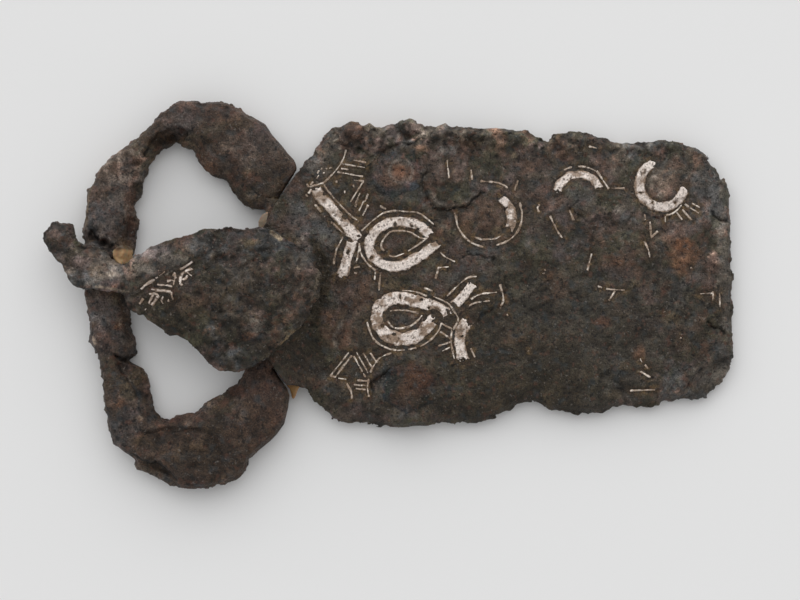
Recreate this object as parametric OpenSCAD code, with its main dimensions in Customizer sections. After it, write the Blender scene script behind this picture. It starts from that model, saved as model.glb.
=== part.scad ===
// Early medieval iron belt buckle with its plate, inlaid and plated with silver, as found: rusted,
// chipped at the rims, its tongue's tip broken, with conservation resin in three gaps.
// X runs from the buckle loop to the plate's far end, Y across the belt, Z out of the plate's face.
// The origin is at the middle of the outline, on the surface that the back lies on.

/* [Plate] */
// Thickness of the plate at its flat face
plate_t = 3; // [2.8:0.1:3.1]
// Height of the rust crust above the face along the upper rim
crust_h = 0.8; // [0:0.1:1.2]
// Height of the rivet heads above the face
rivet_h = 1.6; // [1:0.1:2.2]
// Diameter of the rivet shanks
rivet_shank_d = 3.6; // [2.5:0.1:4.5]

/* [Hinge] */
// Diameter of the loop's hinge bar
bar_d = 3.4; // [3:0.1:3.6]
// Outer diameter of the two rolled lugs that hold the bar
lug_d = 5.8; // [5.6:0.1:5.8]
// Clearance round the bar, on the radius
bar_gap = 0.08; // [0.05:0.01:0.1]
// Width of the tongue's eye, between the lugs
eye_w = 6.2; // [5:0.1:6.4]

/* [Loop] */
// Thickness of the loop at the crown of its section
loop_t = 5; // [4.6:0.1:5]

/* [Tongue] */
// Height of the shield's underside above the surface
shield_z = 6.2; // [6.1:0.1:6.4]
// Rise of the shield from its rim to its crown
shield_rise = 1.9; // [1.2:0.1:2.4]

/* [Silver] */
// Thickness of the silver strips
silver_t = 0.3; // [0.2:0.05:0.5]
// Width of the fine silver wires
wire_w = 0.4; // [0.3:0.05:0.5]

/* [Hidden] */

iron = "#3b332f";
rust = "#5a3a2c";
silver = "#cfc8be";
resin = "#b98f4e";

// The hinge axis runs along Y through this X and Z.
hinge_x = -23.2;
hinge_z = lug_d / 2;
bore_r = bar_d / 2 + bar_gap;
// The tongue lifts by this angle before the shield's rear rim meets the plate.
lift = 22;
// Middle of the tongue's eye along Y, and the slot it turns in
eye_y = 1;
slot_w = eye_w + 0.6;
seat_gap = 0.05;
smooth_fn = 48;
round_fn = 32;
dome_fn = 180;

function mix(a, b, t) = a + (b - a) * t;
function clamp01(t) = min(1, max(0, t));
function ease(t) = clamp01(t) * clamp01(t) * (3 - 2 * clamp01(t));
// A smooth mound of height 1 at d = 0 that ends at d = r
function mound(d, r) = d >= r ? 0 : (1 + cos(180 * d / r)) / 2;

// A closed solid through rings of equal count. Each ring lies in one vertical plane, and seen from
// the first ring's outer side its points run anticlockwise.
module loft(rings) {
    n = len(rings[0]);
    m = len(rings);
    polyhedron(
        points = [for (ring = rings) each ring],
        faces = concat(
            [[for (i = [n - 1:-1:0]) i]],
            [for (s = [0:m - 2]) for (i = [0:n - 1]) let (a = s * n, b = a + n, j = (i + 1) % n)
                each [[a + i, b + j, b + i], [a + i, a + j, b + j]]],
            [[for (i = [0:n - 1]) (m - 1) * n + i]]));
}

// The plate, one row for each station across it, from the hinge to the far end:
// X and Y on the lower rim, then X and Y on the upper rim
PLATE_ROWS = [
    [-26.05, -12.3, -26.05, 12.0], [-25.8, -12.3, -25.8, 12.6], [-25.3, -12.4, -25.3, 13.4],
    [-24.5, -12.6, -24.5, 14.6], [-23.7, -13.5, -23.7, 16.0], [-22.9, -14.7, -22.9, 17.8],
    [-22.1, -15.9, -22.1, 19.0], [-21.2, -17.2, -21.2, 20.4], [-20.5, -18.0, -20.5, 21.5],
    [-19.5, -18.1, -19.5, 23.0],
    [-18.5, -18.2, -18.5, 24.5], [-17.0, -18.6, -17.0, 26.9], [-15.8, -20.4, -15.8, 27.8],
    [-14.6, -21.9, -14.6, 28.9], [-13.4, -22.9, -13.4, 30.8], [-12.4, -23.4, -12.4, 32.7],
    [-11.2, -24.9, -11.2, 33.2], [-9.8, -25.7, -9.8, 33.3], [-8.0, -25.6, -8.0, 34.1],
    [-6.4, -25.7, -6.4, 34.1], [-5.4, -25.8, -5.4, 33.5], [-4.2, -25.8, -4.2, 33.9],
    [-3.2, -25.9, -3.2, 32.9], [-1.6, -26.4, -1.6, 33.3], [0.4, -26.6, 0.4, 33.8],
    [1.6, -26.5, 1.6, 34.1], [2.6, -26.3, 2.6, 34.8], [4.2, -26.3, 4.2, 34.7],
    [5.2, -26.2, 5.2, 33.3], [6.8, -26.1, 6.8, 33.2], [8.2, -26.0, 8.2, 33.5],
    [9.4, -25.9, 9.4, 33.1], [11.0, -25.8, 11.0, 33.7], [13.4, -25.7, 13.4, 33.3],
    [15.2, -25.7, 15.2, 33.4], [17.0, -25.7, 17.0, 33.2], [20.0, -25.0, 20.0, 32.9],
    [23.0, -23.5, 23.0, 32.9], [24.6, -22.6, 24.6, 32.8], [26.6, -21.9, 26.6, 32.9],
    [28.6, -21.5, 28.6, 32.1], [30.2, -22.3, 30.2, 31.5], [31.8, -23.2, 31.8, 31.1],
    [32.8, -23.3, 32.8, 32.1], [34.6, -23.3, 34.6, 32.3], [36.2, -23.6, 36.2, 32.8],
    [38.0, -24.0, 38.0, 32.7], [40.0, -23.9, 40.0, 32.3], [42.6, -23.8, 42.6, 31.5],
    [44.8, -22.7, 44.8, 30.9], [46.0, -22.5, 46.0, 30.5], [48.4, -22.8, 48.4, 30.6],
    [51.0, -22.6, 51.0, 30.8], [53.2, -22.1, 53.2, 30.9], [55.6, -21.4, 55.6, 31.1],
    [58.0, -21.2, 58.0, 30.7], [60.0, -21.2, 60.0, 29.7], [62.2, -21.0, 62.2, 29.3],
    [63.6, -20.5, 63.6, 28.1], [64.6, -19.3, 64.4, 26.3], [65.8, -18.3, 65.6, 24.3],
    [67.2, -16.7, 67.0, 22.9], [68.2, -15.4, 67.8, 21.5], [69.0, -12.0, 68.3, 19.8]];

// Low swellings of the plate's face where rust has lifted it: X, Y, radius, height
SWELLINGS = [
    [13.0, 21.9, 4.6, 0.5], [44.4, 9.8, 6.2, 0.35], [34.0, -10.0, 9.0, 0.4],
    [58.5, -8.0, 6.0, 0.45], [24.0, -18.0, 6.0, 0.3]];

// Shares of the way across the plate at which its face is set
PLATE_STEPS = [0, 0.022, 0.055, 0.1, 0.18, 0.28, 0.38, 0.48, 0.58, 0.68, 0.76, 0.84, 0.9,
               0.945, 0.978, 1];
plate_rim_z = 1.7;
rim_w = 2.2;
// The crust is highest on the upper rim near the hinge and dies out along the plate.
crust_from = -14;
crust_to = 34;
crust_w = 3.2;
// Height of the low waves of the rusted face
wave_h = 0.02;

function swelling(x, y) = max([for (s = SWELLINGS) s[3] * mound(norm([x - s[0], y - s[1]]), s[2])]);
function crust(x, from_rim) = crust_h * ease((x - crust_from) / 6) * ease((crust_to - x) / 20)
    * mound(from_rim, crust_w);
function plate_face(x, y, from_rim, from_upper) =
    mix(plate_rim_z, plate_t, sqrt(1 - pow(1 - clamp01(from_rim / rim_w), 2)))
    + swelling(x, y) + crust(x, from_upper) + wave_h * sin(37 * x + 53 * y);

// Height of the rolled eye's outside at x, and of the slope that runs from it down to the face
function eye_half(x) = sqrt(max(0, pow(lug_d / 2, 2) - pow(x - hinge_x, 2)));
function slope_z(x) = x - hinge_x < lug_d / 2 * sin(lift) ? hinge_z + eye_half(x)
    : hinge_z + (lug_d / 2 - (x - hinge_x) * sin(lift)) / cos(lift);
function plate_back(x) = x < hinge_x ? hinge_z - eye_half(x) : 0;
// The rim is full height at the hinge and rounded along the rest of the plate.
function rim_reach(x, from_rim) = mix(rim_w, from_rim, ease((x + 19) / 4));
// Under the middle of its height each lug ends square, which leaves room for the arms to swing down.
lug_end_lower = -12.5;
lug_end_upper = 16.4;
lug_reach = -21.7;
function side_z(x) = x < lug_reach ? hinge_z + 0.15 : 1.2;
function lower_side(row) = row[0] < lug_reach ? max(row[1], lug_end_lower) : row[1] + under_cut;
function upper_side(row) = row[0] < lug_reach ? min(row[3], lug_end_upper) : row[3] - under_cut;
// The rim leans in a little from its side to the back.
under_cut = 0.1;
back_cut = 0.4;

function plate_ring(row) = let (
        lo = [row[0], row[1]], hi = [row[2], row[3]], across = norm(hi - lo), back = plate_back(row[0]),
        end_gap = PLATE_ROWS[len(PLATE_ROWS) - 1][0] - row[0],
        side = side_z(row[0]), lo_in = lower_side(row), hi_in = upper_side(row))
    concat(
        [for (t = PLATE_STEPS) let (p = mix(lo, hi, t),
            rim = rim_reach(p[0], min(t * across, (1 - t) * across, end_gap)))
            [p[0], p[1], p[0] < hinge_x ? slope_z(p[0])
                : max(slope_z(p[0]), plate_face(p[0], p[1], rim, (1 - t) * across))]],
        [[hi[0], hi[1], side + 0.2], [hi[0], hi_in, side], [hi[0], hi_in - back_cut, back],
         [lo[0], lo_in + back_cut, back], [lo[0], lo_in, side], [lo[0], lo[1], side + 0.2]]);

module plate() {
    color(iron) difference() {
        loft([for (row = PLATE_ROWS) plate_ring(row)]);
        hinge_bore();
        translate([hinge_x - lug_d, eye_y - slot_w / 2, -1]) cube([lug_d + 3.3, slot_w, 10]);
        for (r = RIVETS) translate([r[0], r[1], -1])
            cylinder(d = rivet_shank_d + 0.1, h = plate_t + 2, $fn = round_fn);
    }
}

module hinge_bore() {
    translate([hinge_x, 40, hinge_z]) rotate([90, 20, 0]) cylinder(r = bore_r, h = 80, $fn = smooth_fn);
}

// The two rivets near the hinge: X, Y and head diameter
RIVETS = [[1.2, 24.2, 11.6], [4.0, -19.3, 13.0]];

// A domed head over a shank that ends flush with the plate's back
module rivet(place) {
    d = place[2];
    sphere_r = (d * d / 4 + rivet_h * rivet_h) / (2 * rivet_h);
    base = plate_t + seat_gap;
    color(rust) translate([place[0], place[1], 0]) {
        cylinder(d = rivet_shank_d, h = base + 0.4, $fn = round_fn);
        intersection() {
            translate([0, 0, base - sphere_r + rivet_h]) sphere(r = sphere_r, $fn = dome_fn);
            translate([0, 0, base]) cylinder(d = d + 1, h = rivet_h + 1, $fn = round_fn);
        }
    }
}

// The loop, one row for each station round it, from the upper arm's end to the lower arm's end:
// X and Y on the outer rim, X and Y on the inner rim, height of the underside, height of the crown
LOOP_ROWS = [
    [-18.9, 24.6, -23.6, 17.4, 2.4, 3.4], [-18.7, 25.1, -24.4, 17.1, 2.0, 3.9],
    [-18.8, 26.2, -26.0, 17.0, 1.6, 4.3], [-19.4, 27.2, -27.8, 17.3, 1.1, 4.6],
    [-20.4, 28.2, -29.2, 17.9, 0.6, 4.8], [-21.6, 29.8, -30.4, 19.2, 0.2, 4.9],
    [-23.6, 32.0, -31.8, 21.4, 0, 5],
    [-25.0, 34.2, -33.2, 23.1, 0, 5], [-27.6, 35.6, -35.6, 23.8, 0, 5],
    [-29.8, 36.9, -37.4, 25.7, 0, 5], [-32.0, 38.3, -38.6, 27.5, 0, 5],
    [-33.8, 38.7, -39.8, 29.1, 0, 5], [-37.0, 38.6, -41.2, 29.7, 0, 5],
    [-39.6, 38.9, -43.0, 30.4, 0, 5], [-42.0, 38.7, -44.4, 29.7, 0, 4.9],
    [-44.0, 37.7, -46.0, 28.9, 0, 4.8], [-46.0, 35.9, -47.2, 27.5, 0, 4.7],
    [-48.0, 33.7, -48.0, 26.2, 0, 4.6], [-50.4, 31.5, -48.8, 24.9, 0, 4.6],
    [-53.0, 29.5, -49.1, 23.3, 0, 4.7], [-55.6, 27.7, -49.4, 21.7, 0, 4.8],
    [-57.8, 25.7, -50.0, 19.7, 0, 4.9], [-59.0, 23.1, -51.2, 17.7, 0, 5],
    [-60.6, 20.9, -51.2, 16.5, 0, 5], [-60.8, 18.3, -50.4, 15.1, 0, 5],
    [-60.8, 15.9, -50.8, 13.1, 0, 5], [-61.4, 12.7, -51.0, 10.9, 0, 5],
    [-61.0, 9.5, -51.4, 8.5, 0, 5], [-61.2, 5.9, -51.8, 4.9, 0, 5],
    [-61.2, 0.9, -52.0, -0.1, 0, 5], [-60.6, -3.3, -52.1, -3.5, 0, 5],
    [-60.0, -5.5, -52.2, -6.3, 0, 5], [-60.0, -9.1, -51.4, -8.7, 0, 5],
    [-58.8, -11.9, -50.8, -11.7, 0, 4.9], [-58.2, -13.5, -52.4, -13.3, 0, 4.7],
    [-57.8, -15.5, -49.4, -14.9, 0, 4.8], [-57.4, -17.9, -48.6, -17.1, 0, 4.9],
    [-57.4, -20.3, -48.2, -19.5, 0, 5], [-57.0, -23.1, -47.6, -21.9, 0, 5],
    [-56.4, -25.9, -47.0, -23.7, 0, 5], [-55.6, -29.1, -45.8, -24.8, 0, 5],
    [-53.8, -31.1, -44.2, -25.1, 0, 5], [-51.2, -33.1, -43.0, -24.1, 0, 5],
    [-50.6, -34.8, -41.8, -23.8, 0, 5], [-47.8, -36.1, -40.6, -23.7, 0, 5],
    [-45.4, -37.3, -39.4, -23.7, 0, 5], [-43.2, -38.5, -38.4, -23.3, 0, 5],
    [-40.0, -38.9, -37.4, -22.3, 0, 5], [-37.0, -38.7, -36.2, -21.2, 0, 5],
    [-34.0, -38.1, -34.8, -20.4, 0, 5], [-31.0, -36.9, -33.6, -20.0, 0, 5],
    [-29.0, -35.3, -32.6, -18.9, 0, 5], [-28.2, -32.9, -31.2, -18.2, 0, 5],
    [-26.2, -31.1, -30.0, -16.9, 0, 5], [-24.0, -29.3, -29.4, -15.7, 0.2, 4.9],
    [-22.8, -28.1, -28.9, -14.9, 0.5, 4.9], [-21.2, -25.9, -28.3, -14.4, 0.8, 4.8],
    [-20.4, -22.6, -27.4, -13.9, 1.1, 4.6], [-20.1, -20.3, -26.2, -13.4, 1.6, 4.3],
    [-20.5, -18.9, -25.2, -13.1, 2.0, 3.9], [-21.0, -18.2, -24.6, -12.9, 2.4, 3.4]];

// Section of the loop: share of the way from the outer to the inner rim, share of the height
LOOP_SECTION = [
    [0, 0.25], [0, 0.62], [0.06, 0.9], [0.18, 0.99], [0.42, 1], [0.66, 0.97], [0.8, 0.86],
    [0.93, 0.64], [1, 0.45], [1, 0.2], [0.9, 0], [0.1, 0]];

function loop_ring(row) = [for (s = LOOP_SECTION)
    [mix(row[0], row[2], s[0]), mix(row[1], row[3], s[0]), mix(row[4], min(row[5], loop_t), s[1])]];

module loop_body() {
    loft([for (row = LOOP_ROWS) loop_ring(row)]);
}

module loop() {
    arm_end_upper = 19;
    arm_end_lower = -14.4;
    color(iron) union() {
        loop_body();
        translate([hinge_x, arm_end_upper, hinge_z]) rotate([90, 0, 0])
            cylinder(d = bar_d, h = arm_end_upper - arm_end_lower, $fn = smooth_fn);
    }
}

// The tongue, one row for each station along it, from the broken tip to the shield's rear rim:
// X, Y on the lower side, Y on the upper side, underside, rim height, crown height.
// Heights are given from the shield's underside.
TONGUE_ROWS = [
    [-69.0, 11.0, 11.8, -1.9, 0.2, 0.3], [-68.0, 9.2, 12.9, -2.4, 0.5, 1.0],
    [-66.8, 7.7, 14.1, -2.6, 0.6, 1.2], [-66.0, 7.0, 14.5, -2.6, 0.6, 1.3],
    [-64.8, 5.7, 13.9, -2.4, 0.6, 1.5], [-63.6, 3.2, 14.1, -2.0, 0.6, 1.7],
    [-62.7, 1.9, 14.0, -1.6, 0.7, 1.8], [-62.1, 1.6, 10.7, -1.0, 0.8, 1.9],
    [-61.0, 1.3, 10.0, -1.0, 0.9, 2.1], [-59.6, 1.1, 9.7, -1.0, 0.9, 2.3],
    [-58.0, 0.9, 9.5, -1.0, 0.9, 2.4], [-56.4, 0.8, 8.6, -1.0, 0.9, 2.5],
    [-55.4, 0.7, 7.5, -1.0, 0.9, 2.5], [-54.4, 0.6, 6.3, -1.0, 0.9, 2.5],
    [-53.0, 0.3, 5.8, -1.0, 0.9, 2.5], [-51.6, -2.9, 6.4, -1.0, 0.9, 2.5],
    [-50.4, -3.7, 7.6, -0.9, 0.9, 2.6], [-49.0, -4.5, 8.3, -0.7, 0.9, 2.6],
    [-47.0, -5.6, 9.5, -0.4, 1.0, 2.7], [-45.0, -6.9, 10.4, -0.1, 1.1, 2.8],
    [-43.6, -8.1, 10.8, 0, 1.2, 2.9], [-42.0, -8.0, 11.2, 0, 1.3, 3.0],
    [-40.0, -9.1, 11.7, 0, 1.4, 3.1], [-38.0, -11.1, 12.5, 0, 1.4, 3.2],
    [-36.0, -13.4, 13.0, 0, 1.5, 3.3], [-34.0, -14.8, 12.9, 0, 1.5, 3.4],
    [-31.6, -15.1, 13.3, 0, 1.5, 3.4], [-29.0, -14.9, 12.9, 0, 1.5, 3.4],
    [-27.0, -14.3, 13.2, 0, 1.5, 3.4], [-25.0, -12.7, 13.3, 0, 1.5, 3.3],
    [-23.0, -11.4, 12.6, 0, 1.5, 3.3], [-21.0, -9.2, 11.0, 0.05, 1.5, 3.2],
    [-19.0, -7.3, 10.1, 0.3, 1.5, 3.1], [-17.4, -6.1, 9.3, 0.5, 1.5, 2.9],
    [-16.4, -4.5, 8.1, 0.65, 1.5, 2.7], [-15.2, -2.7, 6.3, 0.85, 1.5, 2.4],
    [-14.4, -1.1, 5.4, 1.0, 1.5, 2.1], [-13.8, 1.3, 4.3, 1.1, 1.5, 1.8],
    [-13.6, 2.5, 3.5, 1.2, 1.4, 1.5]];

// Shares of the way across the tongue at which its upper side is set
TONGUE_STEPS = [0, 0.03, 0.09, 0.18, 0.3, 0.42, 0.54, 0.66, 0.78, 0.88, 0.96, 1];

// Height of the tongue's upper side above its rim, as a share of the rise, at share t of the way across
function dome(t) = pow(max(0, 1 - pow(2 * t - 1, 2)), 0.62);
function tongue_top(row, t) = shield_z + row[4] + (row[5] - row[4]) * dome(t) * shield_rise / 1.9;

function tongue_ring(row) = concat(
    [for (t = TONGUE_STEPS) [row[0], mix(row[1], row[2], t), tongue_top(row, t)]],
    [[row[0], row[2], shield_z + row[3]], [row[0], row[1], shield_z + row[3]]]);

// The eye on the shield's underside that turns on the loop's bar
module tongue_eye() {
    eye_r = lug_d / 2 - 0.15;
    stem = 1.9;
    translate([hinge_x, eye_y + eye_w / 2, hinge_z]) rotate([90, 0, 0]) difference() {
        linear_extrude(eye_w) union() {
            circle(r = eye_r, $fn = smooth_fn);
            translate([-stem, 0]) square([2 * stem, shield_z - hinge_z + 0.4]);
        }
        translate([0, 0, -1]) cylinder(r = bore_r, h = eye_w + 2, $fn = smooth_fn);
    }
}

module tongue() {
    color(iron) union() {
        loft([for (row = TONGUE_ROWS) tongue_ring(row)]);
        tongue_eye();
    }
}

// Silver: points along an arc of an ellipse, and the outline of a strip along a path
function arc_points(c, a, b, from, to, n) = [for (i = [0:n]) let (w = mix(from, to, i / n))
    [c[0] + a * cos(w), c[1] + b * sin(w)]];
function heading(path, i) = let (a = path[max(0, i - 1)], b = path[min(len(path) - 1, i + 1)])
    (b - a) / norm(b - a);
function shifted(path, d) = [for (i = [0:len(path) - 1]) let (h = heading(path, i))
    path[i] + d * [-h[1], h[0]]];
function reversed(v) = [for (i = [len(v) - 1:-1:0]) v[i]];
function strip_outline(path, w) = concat(shifted(path, w / 2), reversed(shifted(path, -w / 2)));
function part_of(path, from, to) = [for (i = [from:to]) path[i]];

module strip(path, w) {
    translate([0, 0, plate_t + seat_gap]) linear_extrude(silver_t) polygon(strip_outline(path, w));
}

// Middle lines of the broad silver bands and rings, in the plate's plane
slant_path = [[-14.8, 20.5], [-13.0, 18.3], [-11.0, 16.1], [-9.0, 13.8], [-6.8, 11.8]];
stem_path = [[-7.6, 10.2], [-8.4, 7.9], [-9.0, 5.5], [-9.7, 3.1]];
upper_loop_path = concat(
    [[7.2, 12.3], [5.6, 13.7]],
    arc_points([0.6, 10.3], 4.8, 4.5, 62, 285, 12),
    [[4.2, 6.9], [6.0, 8.0], [8.0, 9.2], [9.4, 10.0]]);
lower_loop_path = concat(
    [[8.5, -5.3], [6.4, -7.3]],
    arc_points([1.4, -4.7], 4.7, 4.1, 305, 80, 12),
    [[4.6, -1.4], [6.8, -2.2], [9.0, -3.1], [11.4, -4.3]]);
branch_path = [[16.6, 1.6], [14.6, -0.5], [12.8, -2.5]];
foot_path = [[15.2, -5.7], [14.0, -7.7], [14.2, -10.3], [14.6, -12.7]];
middle_ring_path = arc_points([19.4, 15.6], 4.9, 4.9, 50, -28, 6);
arch_path = arc_points([37.6, 19.3], 4.85, 4.85, 159, 35, 8);
end_ring_path = arc_points([54.5, 22.0], 4.85, 4.85, 108, 352, 16);

band_w = 1.9;
slim_band_w = 1.5;

// Fine wires that run beside the bands and arcs of their own, as paths
WIRE_RUNS = [
    part_of(shifted(upper_loop_path, 1.75), 1, 14),
    part_of(shifted(upper_loop_path, -1.9), 0, 13),
    part_of(shifted(lower_loop_path, 1.7), 3, 12),
    part_of(shifted(lower_loop_path, -1.7), 1, 9),
    shifted(slant_path, 1.9), [[-15.0, 17.9], [-13.0, 15.5]], [[-11.8, 14.5], [-9.4, 12.3], [-7.8, 11.3]],
    shifted(stem_path, -1.9), part_of(shifted(stem_path, 1.7), 0, 2),
    shifted(branch_path, -1.6), shifted(foot_path, -1.6),
    arc_points([19.4, 15.6], 6.9, 6.6, 200, 340, 10),
    arc_points([19.4, 15.6], 4.6, 4.4, 235, 300, 4),
    arc_points([19.8, 15.8], 6.6, 6.6, 115, 55, 4),
    arc_points([37.6, 19.3], 6.4, 6.4, 118, 62, 5),
    arc_points([37.6, 19.3], 6.4, 6.4, 48, 14, 3),
    arc_points([54.5, 22.0], 6.2, 6.2, 265, 330, 6),
    arc_points([4.4, -19.5], 9.2, 9.2, 172, 118, 6),
    [[-9.0, 29.0], [-9.6, 26.6], [-10.8, 24.6], [-13.2, 22.6], [-15.6, 21.8]],
    [[-4.6, 22.9], [-5.6, 20.8], [-7.0, 18.2]],
    [[50.9, 17.0], [51.6, 14.6], [52.2, 10.4]],
    [[50.6, 10.2], [51.6, 7.2]],
    [[33.2, 15.4], [34.6, 12.6], [35.8, 9.8]],
    [[39.2, 2.0], [38.6, -0.6], [39.6, -4.0]],
    [[-11.6, -17.0], [-8.0, -10.8]]];

// Combs of short parallel wires: X and Y of the first one's start, direction, length, count,
// and the step in X and Y to the next
COMBS = [
    [-9.4, 25.8, -8, 3.9, 3, 0.2, -1.3],
    [-5.0, 20.0, -118, 2.7, 4, 0.85, -0.55],
    [-6.8, -11.6, -60, 3.3, 4, 1.25, 0.35],
    [-6.0, -17.2, -2, 2.0, 3, 0, -0.9],
    [10.2, -6.4, -35, 1.7, 3, 0.35, -1.1],
    [58.0, 17.2, -32, 3.0, 4, 0.85, 0.75],
    [63.2, -1.6, -84, 2.6, 3, 1.0, -0.1]];

module plate_wires() {
    color(silver) {
        for (run = WIRE_RUNS) strip(run, wire_w);
        for (c = COMBS) for (i = [0:c[4] - 1]) {
            start = [c[0] + i * c[5], c[1] + i * c[6]];
            strip([start, start + c[3] * [cos(c[2]), sin(c[2])]], wire_w);
        }
    }
}

// The hatched field on the tongue's neck: start X and Y, end X and Y of each stroke
TONGUE_STROKES = [
    [-48.6, 2.9, -45.6, 4.4], [-46.6, 1.6, -43.4, 1.2], [-45.2, 2.9, -43.0, 2.3],
    [-48.2, -1.2, -46.9, 0.9], [-47.3, -1.9, -45.6, 0.3], [-46.2, -2.1, -44.9, -0.3],
    [-41.6, 3.1, -40.4, 5.2], [-40.8, 2.4, -39.2, 4.4]];

// The two rows of the tongue's table on either side of X, and the height of its upper side there
function row_before(x) = max([for (i = [0:len(TONGUE_ROWS) - 2]) TONGUE_ROWS[i][0] <= x ? i : 0]);
function tongue_height(x, y) = let (
        i = row_before(x), a = TONGUE_ROWS[i], b = TONGUE_ROWS[i + 1],
        row = mix(a, b, (x - a[0]) / (b[0] - a[0])))
    tongue_top(row, (y - row[1]) / (row[2] - row[1]));

// A stroke of wire over the tongue's upper side, as a loft of three rings across it
module stroke(s) {
    from = [s[0], s[1]];
    to = [s[2], s[3]];
    along = (to - from) / norm(to - from);
    side = [-along[1], along[0]] * wire_w / 2;
    lift_off = 0.08;
    loft([for (t = [0, 0.5, 1]) let (p = mix(from, to, t), l = p + side, r = p - side,
        z = max(tongue_height(l[0], l[1]), tongue_height(r[0], r[1])) + lift_off)
        [[l[0], l[1], z], [r[0], r[1], z], [r[0], r[1], z + silver_t], [l[0], l[1], z + silver_t]]]);
}

module tongue_wires() {
    color(silver) for (s = TONGUE_STROKES) stroke(s);
}

// Conservation resin: a lump hulled over round feet, X, Y, Z and radius of each
module resin_lump(feet) {
    color(resin) hull() for (f = feet) translate([f[0], f[1], f[2]]) sphere(r = f[3], $fn = 16);
}

// Beside the tongue, laid over the inner edge of the loop's front bar
module resin_front() {
    difference() {
        resin_lump([[-53.4, 8.4, loop_t - 0.1, 0.5], [-52.4, 8.2, loop_t - 0.9, 0.45],
                    [-53.0, 7.0, loop_t - 0.3, 0.45], [-54.6, 9.3, loop_t + 0.15, 0.45]]);
        translate([0, 0, seat_gap]) loop_body();
    }
}

// In front of the upper lug, beside the loop's bar
module resin_upper() {
    difference() {
        resin_lump([[-25.4, 15.4, 2.6, 0.7], [-25.8, 14.2, 2.4, 0.7], [-25.2, 14.6, 3.6, 0.6]]);
        hinge_bore();
    }
}

// Between the lower arm's end and the plate's corner
module resin_lower() {
    resin_lump([[-19.2, -18.95, 2.6, 0.55], [-18.6, -18.9, 1.6, 0.5], [-19.1, -20.0, 2.0, 0.5]]);
}

plate();
loop();
tongue();
rivet(RIVETS[0]);  // rivet_upper
rivet(RIVETS[1]);  // rivet_lower
color(silver) strip(slant_path, band_w);  // band_slant
color(silver) strip(stem_path, band_w);  // band_stem
color(silver) strip(upper_loop_path, band_w);  // band_upper_loop
color(silver) strip(lower_loop_path, band_w);  // band_lower_loop
color(silver) strip(branch_path, slim_band_w);  // band_branch
color(silver) strip(foot_path, band_w);  // band_foot
color(silver) strip(middle_ring_path, slim_band_w);  // ring_middle
color(silver) strip(arch_path, slim_band_w);  // ring_arch
color(silver) strip(end_ring_path, band_w);  // ring_end
plate_wires();
tongue_wires();
resin_front();
resin_upper();
resin_lower();
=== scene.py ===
"""Looks of the belt buckle with its plate: rusted iron, silver inlay and conservation resin.

Lengths are in mm, in the CAD model's own axes, until a mesh is made. Each iron piece starts from its CAD
node, taken as signed distances on a grid, gets its relief there and is meshed again. Seeds are whole numbers
that give each noise its own pattern.
"""

import itertools
import math

import bpy
import numpy as np
import openvdb as vdb
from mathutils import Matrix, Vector


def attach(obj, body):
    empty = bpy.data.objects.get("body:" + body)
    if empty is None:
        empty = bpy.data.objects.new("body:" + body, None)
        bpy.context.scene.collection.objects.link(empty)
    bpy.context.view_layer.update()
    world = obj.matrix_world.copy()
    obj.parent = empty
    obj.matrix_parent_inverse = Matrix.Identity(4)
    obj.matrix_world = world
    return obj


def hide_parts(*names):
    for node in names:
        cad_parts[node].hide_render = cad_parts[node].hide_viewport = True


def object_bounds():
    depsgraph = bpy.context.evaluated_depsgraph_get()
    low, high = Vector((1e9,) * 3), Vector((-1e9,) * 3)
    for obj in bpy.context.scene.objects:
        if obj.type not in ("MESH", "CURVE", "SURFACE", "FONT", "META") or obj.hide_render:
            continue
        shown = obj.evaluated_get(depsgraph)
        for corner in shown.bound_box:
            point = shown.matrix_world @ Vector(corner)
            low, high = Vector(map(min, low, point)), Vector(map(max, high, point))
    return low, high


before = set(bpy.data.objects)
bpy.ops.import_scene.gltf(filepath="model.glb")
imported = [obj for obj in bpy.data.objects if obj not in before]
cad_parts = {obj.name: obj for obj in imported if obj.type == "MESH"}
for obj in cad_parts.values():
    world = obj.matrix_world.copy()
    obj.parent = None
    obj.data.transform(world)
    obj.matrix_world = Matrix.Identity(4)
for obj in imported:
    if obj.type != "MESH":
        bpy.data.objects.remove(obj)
cad_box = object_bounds()

MM = 0.001

# Surface of the plate's flat face, and axis of the hinge (X, Z)
PLATE_TOP = 3.0
HINGE = (-23.2, 2.9)


# Numbers and noise


def smooth_step(low, high, value):
    """0 below low, 1 above high and a smooth rise between them."""
    share = np.clip((value - low) / (high - low), 0, 1)
    return share * share * (3 - 2 * share)


def mix(a, b, share):
    """Rows of a turned into b by a share for each row."""
    share = np.asarray(share)[:, None]
    return a * (1 - share) + b * share


# Primes that scramble the seed, the columns of a cell and the bits of the result
SEED_PRIME = 2654435761
COLUMN_PRIMES = (374761393, 668265263, 3266489917)
BIT_PRIME = 2246822519


def lattice(cells, seed):
    """A random value from 0 to 1 for each whole-numbered cell, one row each."""
    mixed = np.full(len(cells), (seed * SEED_PRIME) % 2**32, np.uint32)
    for column, prime in zip(cells.T, COLUMN_PRIMES):
        mixed ^= column.astype(np.uint32) * np.uint32(prime)
        mixed ^= mixed >> np.uint32(15)
        mixed *= np.uint32(BIT_PRIME)
        mixed ^= mixed >> np.uint32(13)
    return mixed / 2.0**32


# Turns the noise off the axes, so that its cells don't show
TURNS = {2: np.array([[0.8, -0.6], [0.6, 0.8]]),
         3: np.array([[0.8, -0.6, 0.0], [0.48, 0.64, -0.6], [0.36, 0.48, 0.8]])}


def noise(at, size, seed):
    """Smooth noise from -1 to 1 at each point, with hills of about that size."""
    spot = at @ TURNS[at.shape[1]] / size
    cell = np.floor(spot).astype(np.int64)
    part = spot - cell
    part = part * part * (3 - 2 * part)
    total = np.zeros(len(at))
    for corner in itertools.product((0, 1), repeat=at.shape[1]):
        share = np.prod(np.where(corner, part, 1 - part), axis=1)
        total += share * lattice(cell + np.array(corner), seed)
    return 2 * total - 1


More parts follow.
